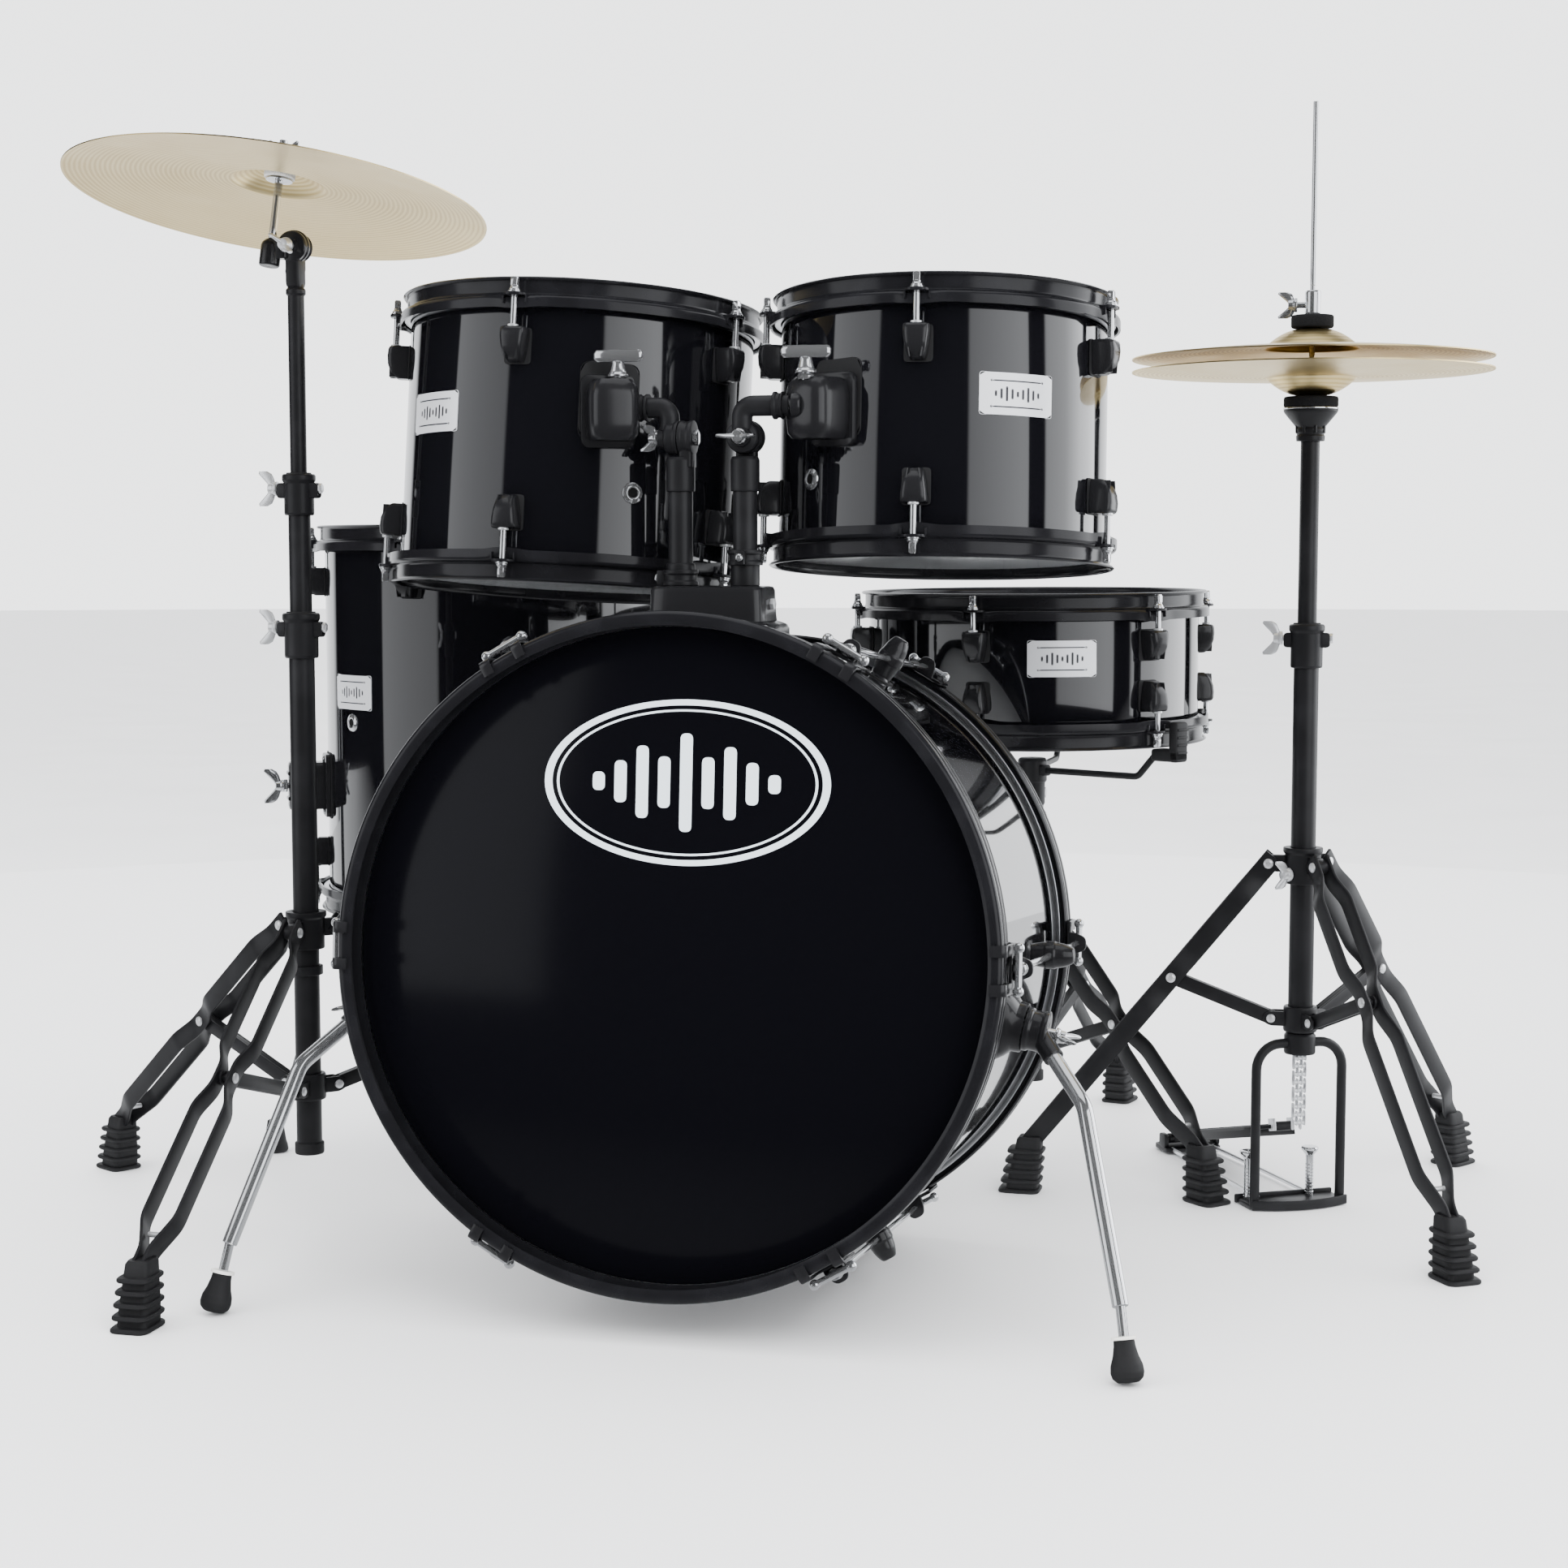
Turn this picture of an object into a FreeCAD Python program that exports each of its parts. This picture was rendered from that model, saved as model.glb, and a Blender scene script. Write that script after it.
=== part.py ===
import FreeCAD, Part
import math
import os
from collections import namedtuple
from FreeCAD import Placement, Rotation, Vector

# Five-piece drum kit with a crash cymbal and a hi-hat. Millimetres, +Z up, the audience looks along +Y.
# Everything is laid out from the floor point under the bass drum's front head, and LAYOUT_SHIFT then moves
# the kit so that its origin is on the floor at the middle of its footprint.

LAYOUT_SHIFT = Vector(49, -497, 0)
GAP = 0.3                      # clearance between pieces that move on each other

# ---- drums -------------------------------------------------------------------------------------------
SHELL_WALL = 6.0
LIP_RISE = 10.0                # a hoop's top lip above the bearing edge
LUG_DROP = 36.0                # from the bearing edge to the near end of a lug
LUG_SIZE = (22.0, 24.0, 31.0)  # radial, tangential, along the drum
ROD_RING = 15.0                # tension rods stand this far outside the shell
VENT_RADIUS = 5.0

Drum = namedtuple("Drum", "radius depth centre lean lug_angles lug_drop vent")
TOM_12 = Drum(152.4, 228.6, Vector(178, 335, 779), (-0.003, 0.075), [56.2 + 72 * k for k in range(5)],
              LUG_DROP, (230, -52))
TOM_13 = Drum(165.1, 254.0, Vector(-181, 333, 768), (0.030, 0.080), [52.2 + 72 * k for k in range(5)],
              LUG_DROP, (307, -52))
FLOOR_TOM = Drum(203.2, 406.4, Vector(-390, 700, 486), (0.0, 0.0), [20.2 + 60 * k for k in range(6)],
                 LUG_DROP, (234, 0))
SNARE = Drum(177.8, 139.7, Vector(204, 732, 549), (-0.004, -0.008), [20.2 + 60 * k for k in range(6)],
             28.0, (230, 0))

# ---- bass drum ---------------------------------------------------------------------------------------
BASS_RADIUS = 279.4
BASS_HALF = 178.0              # half the shell's depth
BASS_FRONT = Vector(0, 0, 329)
BASS_REAR = Vector(0, 410, 295)
BASS_ROD_RING = 303.0
HOOP_RADIUS = 293.5
SPUR_ANGLE = 11.0              # the spur bosses sit this far below the drum's axis, in degrees
SPUR_Y = 110.0
MOUNT_Y = 172.0                # the tom mount block, behind the front head
MOUNT_TOP = 640.0
POST_X = 30.0
POST_RADIUS = 11.0
ARM_Z = 799.0                  # height of the rods that carry the toms
TILTER_Z = 772.0

# ---- stands ------------------------------------------------------------------------------------------
HIHAT = Vector(503, 593, 0)
CRASH = Vector(-448, 275, 0)
SNARE_STAND = Vector(198, 788, 0)
PEDAL_ANGLE = 120.0            # the hi-hat footboard points this way, towards the player
HIHAT_LEGS = (180.0, -57.0, 57.0)
CRASH_LEGS = (150.0, 270.0, 44.0)
SNARE_LEGS = (-43.0, 77.0, 197.0)
STRAP = (3.0, 20.0)            # leg straps: thickness, width

UP = Vector(0, 0, 1)
X_AXIS = Vector(1, 0, 0)
Y_AXIS = Vector(0, 1, 0)
ORIGIN = Vector(0, 0, 0)
PARTS = {}


# ---- shape helpers -----------------------------------------------------------------------------------
def polar(radius, degrees, z=0.0):
    a = math.radians(degrees)
    return Vector(radius * math.cos(a), radius * math.sin(a), z)


def cylinder(radius, height, base=ORIGIN, axis=UP):
    return Part.makeCylinder(radius, height, base, axis)


def cone(low, high, height, base=ORIGIN, axis=UP):
    return Part.makeCone(low, high, height, base, axis)


def pipe(outer, inner, height, base=ORIGIN, axis=UP):
    start = base - axis * 1.0
    return cylinder(outer, height, base, axis).cut(cylinder(inner, height + 2, start, axis))


def block(x, y, z, middle=ORIGIN):
    """A box of the given size about its middle."""
    return Part.makeBox(x, y, z, middle - Vector(x, y, z) * 0.5)


def rounded(shape, radius, keep=lambda edge: True):
    return shape.makeFillet(radius, [e for e in shape.Edges if keep(e)])


def turned(points):
    """The solid that a closed outline of (radius, height) points sweeps about the Z axis."""
    wire = Part.makePolygon([Vector(r, 0, z) for r, z in points + points[:1]])
    solid = Part.Face(wire).revolve(ORIGIN, UP, 360)
    if solid.Volume < 0:
        solid.reverse()
    return solid


def ribbon(points, thickness):
    """The closed outline of a band of even thickness that follows an open line of points."""
    left, right = [], []
    for i, (x, y) in enumerate(points):
        before = points[max(i - 1, 0)]
        after = points[min(i + 1, len(points) - 1)]
        ways = []
        for (ax, ay), (bx, by) in ((before, (x, y)), ((x, y), after)):
            length = math.hypot(bx - ax, by - ay)
            if length > 0:
                ways.append(((by - ay) / -length, (bx - ax) / length))
        nx = sum(w[0] for w in ways) / len(ways)
        ny = sum(w[1] for w in ways) / len(ways)
        reach = thickness / 2 / (nx * nx + ny * ny)
        left.append((x + nx * reach, y + ny * reach))
        right.append((x - nx * reach, y - ny * reach))
    return left + right[::-1]


def bent_rod(points, radius, bend):
    """A round rod along straight runs that are joined by tangent arcs."""
    edges, start = [], points[0]
    for i in range(1, len(points) - 1):
        corner = points[i]
        back = (points[i - 1] - corner).normalize()
        on = (points[i + 1] - corner).normalize()
        half = math.acos(max(-1.0, min(1.0, back.dot(on)))) / 2
        reach = bend / math.tan(half)
        first, last = corner + back * reach, corner + on * reach
        middle = corner + (back + on).normalize() * (bend / math.sin(half) - bend)
        edges.append(Part.LineSegment(start, first).toShape())
        edges.append(Part.Arc(first, middle, last).toShape())
        start = last
    edges.append(Part.LineSegment(start, points[-1]).toShape())
    path = Part.Wire(edges)
    ring = Part.Wire(Part.makeCircle(radius, points[0], points[1] - points[0]))
    return path.makePipeShell([ring], True, True)


def fused(shapes):
    whole = shapes[0]
    for shape in shapes[1:]:
        whole = whole.fuse(shape)
    return whole.removeSplitter()


def placed(shape, origin, normal=UP, heading=X_AXIS):
    """A shape made about the origin, moved so that its Z axis lies along normal."""
    copy = shape.copy()
    turn = Rotation(heading, Vector(), normal, "ZXY")
    copy.Placement = Placement(origin, turn).multiply(copy.Placement)
    return copy


def spun(shape, degrees, about=ORIGIN, axis=UP):
    copy = shape.copy()
    copy.rotate(about, axis, degrees)
    return copy


def save(node, shapes):
    """Keeps one node: a solid, or a group of separate solids."""
    shapes = shapes if isinstance(shapes, list) else [shapes]
    solids = [solid for shape in shapes for solid in shape.Solids]
    whole = solids[0] if len(solids) == 1 else Part.makeCompound(solids)
    whole = whole.copy()
    whole.translate(LAYOUT_SHIFT)
    PARTS[node] = whole


# ---- toms, floor tom and snare, about their own middle ------------------------------------------------
def drum_normal(drum):
    return Vector(drum.lean[0], drum.lean[1], 1).normalize()


def in_drum(drum, shape):
    return placed(shape, drum.centre, drum_normal(drum))


def drum_shell(drum):
    outer, inner, edge = drum.radius, drum.radius - SHELL_WALL, drum.depth / 2
    tip = outer - 1.5
    shell = turned([(inner, 4.5 - edge), (tip, -edge), (outer, 1.5 - edge), (outer, edge - 1.5), (tip, edge),
                    (inner, edge - 4.5)])
    angle, height = drum.vent
    hole = cylinder(VENT_RADIUS, 40, polar(outer - 20, angle, height), polar(1, angle))
    return shell.cut(hole)


def drum_head(drum, side):
    """The film, its collar over the bearing edge and the flesh ring around the shell."""
    edge = drum.depth / 2
    out = drum.radius
    film = [(0, edge), (0, edge + 0.4), (out + 1.2, edge + 0.4), (out + 1.2, edge - 8), (out + 7, edge - 8),
            (out + 7, edge - 14), (out + 0.4, edge - 14), (out + 0.4, edge)]
    return turned([(r, side * z) for r, z in film])


def drum_hoop(drum, side):
    """A triple-flanged hoop with an ear at each tension rod."""
    edge, out = drum.depth / 2, drum.radius
    line = [(out + 7, edge + LIP_RISE - 0.5), (out + 3.6, edge + LIP_RISE - 2), (out + 3.6, edge - 6),
            (out + 10, edge - 6.6), (out + 10, edge - 17)]
    hoop = turned([(r, side * z) for r, z in ribbon(line, 2.2)])
    ears = []
    for angle in drum.lug_angles:
        ear = block(13, 17, 2.6, Vector(out + 15.4, 0, side * (edge - 6.8)))
        ear = rounded(ear, 4, lambda e: e.Length < 3 and e.CenterOfMass.x > out + 16)
        ear = ear.cut(cylinder(3.4, 10, Vector(out + ROD_RING, 0, side * (edge - 6.8) - 5)))
        ears.append(spun(ear, angle))
    hoop = fused([hoop] + ears)
    for angle in drum.lug_angles:
        hoop = hoop.cut(cylinder(3.4, 10, polar(out + ROD_RING, angle, side * (edge - 6.8) - 5)))
    return hoop


def drum_lug(drum, angle, side):
    deep, wide, tall = LUG_SIZE
    near = drum.depth / 2 - drum.lug_drop
    body = block(deep + 4, wide, tall, Vector(drum.radius + deep / 2 - 2, 0, side * (near - tall / 2)))
    body = rounded(body, 4, lambda e: e.CenterOfMass.x > drum.radius + deep - 3)
    body = body.cut(cylinder(drum.radius, drum.depth, Vector(0, 0, -drum.depth / 2)))
    bore = cylinder(3.4, 15, Vector(drum.radius + ROD_RING, 0, side * (near + 0.1)), Vector(0, 0, -side))
    return spun(body.cut(bore), angle)


def tension_rod(drum, angle, side):
    """Threaded rod, washer, collar and square head."""
    near = drum.depth / 2 - drum.lug_drop
    seat = drum.depth / 2 - 5.5
    shank = cylinder(2.9, seat - near + 12, Vector(0, 0, near - 12))
    washer = cylinder(6.2, 1.6, Vector(0, 0, seat))
    collar = cone(5.0, 3.6, 4.5, Vector(0, 0, seat + 1.6))
    head = block(6, 6, 7, Vector(0, 0, seat + 9))
    rod = fused([shank, washer, collar, head])
    if side < 0:
        rod = spun(rod, 180, ORIGIN, X_AXIS)
    rod.translate(Vector(drum.radius + ROD_RING, 0, 0))
    return spun(rod, angle)


def make_drum(name, drum, hoops=None):
    both = (1, -1)
    hoops = hoops or [drum_hoop(drum, side) for side in both]
    save(name + "_shell", in_drum(drum, drum_shell(drum)))
    save(name + "_heads", [in_drum(drum, drum_head(drum, side)) for side in both])
    save(name + "_hoops", [in_drum(drum, hoop) for hoop in hoops])
    spots = [(angle, side) for angle in drum.lug_angles for side in both]
    lugs = [drum_lug(drum, angle, side) for angle, side in spots]
    rods = [tension_rod(drum, angle, side) for angle, side in spots]
    save(name + "_lugs_and_rods", [in_drum(drum, piece) for piece in lugs + rods])


# ---- bass drum, about its own middle with +Z to the front --------------------------------------------
BASS_AXIS = (BASS_FRONT - BASS_REAR).normalize()
BASS_CENTRE = (BASS_FRONT + BASS_REAR) * 0.5


def in_bass(shape):
    return placed(shape, BASS_CENTRE, BASS_AXIS)


def bass_point(radius, degrees, y):
    """A point at this distance from the bass drum's axis, in the upright plane at depth y."""
    lift = BASS_FRONT.z + (BASS_REAR.z - BASS_FRONT.z) * y / BASS_REAR.y
    a = math.radians(degrees)
    return Vector(radius * math.cos(a), y, lift + radius * math.sin(a))


def bass_head(side):
    edge, out = BASS_HALF, BASS_RADIUS
    film = [(0, edge), (0, edge + 0.4), (out + 1.2, edge + 0.4), (out + 1.2, edge - 1.2), (out + 7.5, edge - 1.2),
            (out + 7.5, edge - 9), (out + 0.4, edge - 9), (out + 0.4, edge)]
    return turned([(r, side * z) for r, z in film])


def bass_hoop(side):
    """A pressed hoop: rolled front lip, two beads and a web that bears on the head's ring."""
    edge, out = BASS_HALF, HOOP_RADIUS
    line = [(out - 12, edge + 26.5), (out - 4, edge + 27), (out - 0.8, edge + 24), (out - 0.8, edge + 12),
            (out - 3.5, edge + 8.5), (out - 0.8, edge + 5), (out - 0.8, edge - 2), (out - 3.0, edge - 5)]
    rim = turned([(r, side * z) for r, z in ribbon(line, 1.6)])
    web = [(BASS_RADIUS + 1.8, edge - 0.8), (BASS_RADIUS + 1.8, edge + 0.8), (out - 1, edge + 0.8),
           (out - 1, edge - 0.8)]
    return rim.fuse(turned([(r, side * z) for r, z in web])).removeSplitter()


def bass_lug(angle):
    """An olive-shaped lug standing off the shell's middle, with the rods of both heads in its band."""
    half, middle = 21.0, BASS_ROD_RING
    outline = [(0, -half), (8.5, -half), (11, -half * 0.5), (12, -4), (12.6, -3.4), (12.6, 3.4), (12, 4),
               (11, half * 0.5), (7.0, half), (0, half)]
    olive = placed(turned(outline), Vector(middle, 0, 0), X_AXIS)
    foot = block(14, 22, 30, Vector(BASS_RADIUS + 4, 0, 0))
    lug = fused([olive, foot])
    lug = lug.cut(cylinder(BASS_RADIUS, 2 * BASS_HALF, Vector(0, 0, -BASS_HALF)))
    return spun(lug.cut(cylinder(3.6, 60, Vector(middle, 0, -30))), angle)


def bass_claw(angle, side):
    """A two-pronged hook over the hoop's edge with an ear for the T-rod."""
    edge, out = BASS_HALF, HOOP_RADIUS
    plate = block(2.6, 42, 44, Vector(out + 2.0, 0, edge + 8.5))
    hook = block(14, 42, 2.6, Vector(out - 3.7, 0, edge + 29.2))
    slot = block(30, 20, 30, Vector(out, 0, edge + 19))
    ear = block(18.6, 20, 4, Vector(out + 10.2, 0, edge - 11.5))
    claw = fused([plate, hook]).cut(slot).fuse(ear).removeSplitter()
    claw = claw.cut(cylinder(3.6, 20, Vector(BASS_ROD_RING, 0, edge - 20)))
    if side < 0:
        claw = claw.mirror(ORIGIN, UP)
    return spun(claw, angle)


def bass_t_rod(angle, side):
    """A T-handled tension rod with balls at the handle's ends."""
    edge = BASS_HALF
    inside = 2.0
    shank = cylinder(3.0, edge + 6 - inside, Vector(0, 0, inside))
    collar = cylinder(5.5, 5, Vector(0, 0, edge - 9.3))
    handle = cylinder(3.0, 36, Vector(0, -18, edge + 6), Y_AXIS)
    balls = [Part.makeSphere(4.6, Vector(0, y, edge + 6)) for y in (-18, 18)]
    rod = fused([shank, collar, handle] + balls)
    rod.translate(Vector(BASS_ROD_RING, 0, 0))
    if side < 0:
        rod = rod.mirror(ORIGIN, UP)
    return spun(rod, angle)


def spur_axis(hand):
    a = math.radians(SPUR_ANGLE)
    return Vector(hand * math.cos(a), 0, -math.sin(a))


def spur_bracket(hand):
    axis = spur_axis(hand)
    foot = bass_point(0, 0, SPUR_Y) + axis * (BASS_RADIUS - 8)
    body = fused([cylinder(27, 14, foot, axis), cylinder(22, 29, foot, axis)])
    hub_bolt = cylinder(5, 55.7, foot, axis)
    body = body.fuse(hub_bolt)
    wing = wing_nut(foot + axis * 56, axis, 34)
    drum = cylinder(BASS_RADIUS, 2 * BASS_HALF, BASS_CENTRE - BASS_AXIS * BASS_HALF, BASS_AXIS)
    return [body.cut(drum).removeSplitter(), wing]


def spur(hand):
    """The bent leg that turns about the bracket's bolt."""
    axis = spur_axis(hand)
    hub_at = bass_point(0, 0, SPUR_Y) + axis * (BASS_RADIUS + 21 + GAP)
    hub = cylinder(19, 20, hub_at, axis)
    middle = hub_at + axis * 10
    knee = Vector(hand * 354, 54, 210)
    end = Vector(hand * 401, -24, 16)
    shoulder = Vector(hand * 394, -13, 60)
    start = middle + (knee - middle).normalize() * 12
    leg = bent_rod([start, knee, shoulder], 6.8, 30)
    tip = cylinder(4.2, (end - shoulder).Length, shoulder, end - shoulder)
    bore = cylinder(5 + GAP, 40, hub_at - axis * 5, axis)
    return fused([hub.cut(bore), leg, tip]).cut(bore)


def spur_foot(hand):
    """Rubber tip with a white washer on top."""
    rubber = [(0, 0), (9, 0), (13, 4), (13.5, 13), (8.5, 34), (0, 34)]
    washer = cylinder(10.5, 2.6, Vector(0, 0, 34))
    at = Vector(hand * 403, -28, 0)
    lean = Vector(hand * -0.16, 0.25, 1).normalize()
    body = fused([turned(rubber), washer])
    body = placed(body, at + UP * 9 * math.hypot(lean.x, lean.y), lean)
    tip = cylinder(4.2 + GAP, 60, Vector(hand * 401, -24, 16), Vector(hand * -7, 11, 44))
    return body.cut(tip)


def wing_nut(at, axis, span, lift=0.35, across=None):
    """A wing nut: a small hub and two raised wings. The axis points out of the nut, the wings lie across."""
    hub = cone(7, 5, 9)
    blade = ribbon([(2, 4), (span * 0.28, 8), (span * 0.5, 8 + span * lift)], 3.2)
    wire = Part.makePolygon([Vector(x, -3.4, z) for x, z in blade + blade[:1]])
    wing = Part.Face(wire).extrude(Vector(0, 6.8, 0))
    nut = fused([hub, wing, spun(wing, 180)])
    if across is None:
        across = axis.cross(UP)
    if across.Length < 0.1:
        across = X_AXIS
    return placed(nut, at, axis, across)


def tom_mount():
    """The block that carries both tom posts, with a wide foot on the shell."""
    low = MOUNT_TOP - 70
    body = block(106, 62, 70, Vector(0, MOUNT_Y, MOUNT_TOP - 35))
    body = rounded(body, 7, lambda e: e.CenterOfMass.z > low + 5)
    foot = block(126, 84, 30, Vector(0, MOUNT_Y, MOUNT_TOP - 50))
    foot = rounded(foot, 5, lambda e: e.CenterOfMass.z > MOUNT_TOP - 62)
    drum = cylinder(BASS_RADIUS, 2 * BASS_HALF, BASS_CENTRE - BASS_AXIS * BASS_HALF, BASS_AXIS)
    mount = fused([body, foot]).cut(drum)
    for x in (-POST_X, POST_X):
        mount = mount.cut(cylinder(POST_RADIUS + GAP, 200, Vector(x, MOUNT_Y, MOUNT_TOP - 150)))
    return mount


def make_bass():
    angles = [60 * k for k in range(6)]
    shell = turned([(BASS_RADIUS - 7, 5 - BASS_HALF), (BASS_RADIUS - 1.5, -BASS_HALF),
                    (BASS_RADIUS, 1.5 - BASS_HALF), (BASS_RADIUS, BASS_HALF - 1.5),
                    (BASS_RADIUS - 1.5, BASS_HALF), (BASS_RADIUS - 7, BASS_HALF - 5)])
    shell = in_bass(shell)
    for x in (-POST_X, POST_X):
        shell = shell.cut(cylinder(POST_RADIUS + 2, 200, Vector(x, MOUNT_Y, MOUNT_TOP - 150)))
    save("bass_drum_shell", shell)
    save("bass_drum_heads", [in_bass(bass_head(side)) for side in (1, -1)])
    save("bass_drum_hoops", [in_bass(bass_hoop(side)) for side in (1, -1)])
    spots = [(angle, side) for angle in angles for side in (1, -1)]
    save("bass_drum_lugs", [in_bass(bass_lug(angle)) for angle in angles])
    claws = [bass_claw(angle, side) for angle, side in spots]
    rods = [bass_t_rod(angle, side) for angle, side in spots]
    save("bass_drum_claws_and_rods", [in_bass(piece) for piece in claws + rods])
    save("tom_mount_block", tom_mount())
    save("spur_brackets", spur_bracket(1) + spur_bracket(-1))
    for hand, name in ((1, "right"), (-1, "left")):
        save("spur_" + name, [spur(hand), spur_foot(hand)])


# ---- tom holders -------------------------------------------------------------------------------------
TILTER_AXES = {1: Vector(0, -1, 0), -1: Vector(-1, 0, 0)}
ARM_SLEEVE = 9.2
ARM_SET = 10.0                 # from the ratchet's split plane to the arm
ARM_ROD = 6.0
ARM_STEP = 74.0                # where the arm's sleeve ends, from the kit's middle plane
ARM_END = 108.0


def tilter_centre(hand):
    return Vector(hand * POST_X, MOUNT_Y, TILTER_Z)


def arm_line(hand):
    """A point on the axis of the arm's level rod."""
    return tilter_centre(hand) + TILTER_AXES[hand] * ARM_SET + UP * (ARM_Z - TILTER_Z)


def tom_post(hand):
    """Tube, memory lock, upper sleeve and the fixed half of the ratchet with its bolt and wing nut."""
    centre, axis = tilter_centre(hand), TILTER_AXES[hand]
    foot = Vector(hand * POST_X, MOUNT_Y, 0)
    lock = MOUNT_TOP + GAP + (18 if hand > 0 else 0)
    tube = cylinder(POST_RADIUS, 232, foot + UP * 498)
    collar = cylinder(16, 14, foot + UP * lock)
    stop = cylinder(13, 20, foot + UP * (MOUNT_TOP + GAP))
    clamp = block(9, 9, 14, foot + UP * (lock + 7) + axis * 17)
    sleeve = cylinder(13, 31, foot + UP * 724)
    disc = cylinder(15.5, 12.6, centre - axis * 12.8, axis)
    cheek = block(19, 12.6, 24, centre - UP * 12 - Y_AXIS * -6.5)
    if hand < 0:
        cheek = block(12.6, 19, 24, centre - UP * 12 + X_AXIS * 6.5)
    bolt = cylinder(4, 35.7, centre - axis * 16, axis)
    nut = cylinder(7, 4, centre - axis * 16.8, axis)
    wing = wing_nut(centre + axis * 20, axis, 36 if hand > 0 else 24, 0.15, X_AXIS if hand > 0 else UP)
    return [fused([tube, collar, stop, clamp, sleeve, cheek, disc, bolt, nut]), wing]


def tom_arm(hand):
    """The turning half of the ratchet, the elbow and the level rod that enters the tom's bracket."""
    centre, axis = tilter_centre(hand), TILTER_AXES[hand]
    line = arm_line(hand)
    disc = cylinder(15.5, 13.6, centre + axis * GAP, axis)
    corner = Vector(line.x, line.y, ARM_Z)
    step = Vector(hand * ARM_STEP, line.y, ARM_Z)
    boss = cylinder(9, 19.2, centre + axis * GAP, axis)
    elbow = bent_rod([centre + axis * ARM_SET + UP * 4, corner, step], ARM_SLEEVE, 13)
    rod = cylinder(ARM_ROD, ARM_END - ARM_STEP, step, X_AXIS * hand)
    collar = cylinder(12.5, 9, step - X_AXIS * hand * 15, X_AXIS * hand)
    arm = fused([disc, boss, elbow, rod, collar])
    return arm.cut(cylinder(4 + GAP, 60, centre - axis * 10, axis))


def tom_bracket(drum, hand, angle):
    """A deep block on a curved plate; the arm's rod lies in its bore and a T-bolt grips it from above."""
    out = polar(1, angle)
    turn = Rotation(out, Vector(), UP, "ZXY")
    line = arm_line(hand)
    flat = Vector(drum.centre.x, drum.centre.y, 797)
    body = block(56, 46, 54, Vector(drum.radius + 22, 0, 0))
    body = rounded(body, 6, lambda e: e.CenterOfMass.x > drum.radius + 40)
    plate = block(12, 60, 74, Vector(drum.radius, 0, 0))
    plate = rounded(plate, 3, lambda e: e.CenterOfMass.x > drum.radius + 4)
    bracket = fused([body, plate])
    bracket.Placement = Placement(flat, turn)
    shell = in_drum(drum, cylinder(drum.radius, drum.depth, Vector(0, 0, -drum.depth / 2)))
    bore = cylinder(ARM_ROD + GAP, ARM_END + 20, Vector(0, line.y, ARM_Z), X_AXIS * hand)
    relief = cylinder(12.5 + 2, ARM_STEP + 1, Vector(0, line.y, ARM_Z), X_AXIS * hand)
    bolt_at = Vector(hand * 88, line.y, ARM_Z + ARM_ROD + 1)
    bracket = bracket.cut(shell).cut(bore).cut(relief)
    bracket = bracket.cut(cylinder(4 + GAP, 60, bolt_at - UP * 3))
    stem = cylinder(4, 38, bolt_at)
    boss = cone(8, 6, 10, bolt_at + UP * 22)
    bar = rounded(block(46, 9, 9, bolt_at + UP * 39), 3)
    return [bracket.removeSplitter(), fused([stem, boss, bar])]


def make_tom_holders():
    for hand, side, drum, name, angle in ((1, "right", TOM_12, "tom_12", 242), (-1, "left", TOM_13, "tom_13", -62)):
        save(side + "_tom_post", tom_post(hand))
        save(side + "_tom_arm", tom_arm(hand))
        save(name + "_bracket", tom_bracket(drum, hand, angle))


# ---- floor tom legs ----------------------------------------------------------------------------------
LEG_ANGLES = (210.0, 330.0, 90.0)
LEG_RADIUS = 4.8
LEG_OUT = FLOOR_TOM.radius + 34
BRACKET_Z = 412.0


def floor_tom_leg(angle):
    """A straight rod that kicks out above its rubber foot."""
    points = [Vector(LEG_OUT, 0, 500), Vector(LEG_OUT, 0, 120), Vector(LEG_OUT + 30, 0, 22)]
    rod = bent_rod(points, LEG_RADIUS, 40)
    foot = turned([(0, 0), (13, 0), (14.5, 3), (13, 12), (9, 34), (7, 36), (0, 36)])
    foot.translate(Vector(LEG_OUT + 33, 0, 0))
    foot = foot.cut(bent_rod(points, LEG_RADIUS, 40))
    at = Vector(FLOOR_TOM.centre.x, FLOOR_TOM.centre.y, 0)
    made = []
    for shape in (rod, foot):
        shape = spun(shape, angle)
        shape.translate(at)
        made.append(shape)
    return made


def floor_tom_bracket(angle):
    radius = FLOOR_TOM.radius
    body = block(48, 26, 52, Vector(radius + 20, 0, BRACKET_Z))
    body = rounded(body, 5, lambda e: e.CenterOfMass.x > radius + 30)
    plate = rounded(block(10, 40, 70, Vector(radius, 0, BRACKET_Z)), 2, lambda e: e.CenterOfMass.x > radius + 4)
    bracket = fused([body, plate]).cut(cylinder(radius, 300, Vector(0, 0, BRACKET_Z - 150)))
    bracket = bracket.cut(cylinder(LEG_RADIUS + GAP, 200, Vector(LEG_OUT, 0, BRACKET_Z - 100)))
    bolt = cylinder(3.5, 14, Vector(radius + 44.5, 0, BRACKET_Z), X_AXIS)
    wing = fused([bolt, wing_nut(Vector(radius + 50, 0, BRACKET_Z), X_AXIS, 38)])
    at = Vector(FLOOR_TOM.centre.x, FLOOR_TOM.centre.y, 0)
    made = []
    for shape in (bracket, wing):
        shape = spun(shape, angle)
        shape.translate(at)
        made.append(shape)
    return made


def make_floor_tom_legs():
    save("floor_tom_legs", [piece for angle in LEG_ANGLES for piece in floor_tom_leg(angle)])
    save("floor_tom_leg_brackets", [piece for angle in LEG_ANGLES for piece in floor_tom_bracket(angle)])


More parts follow.
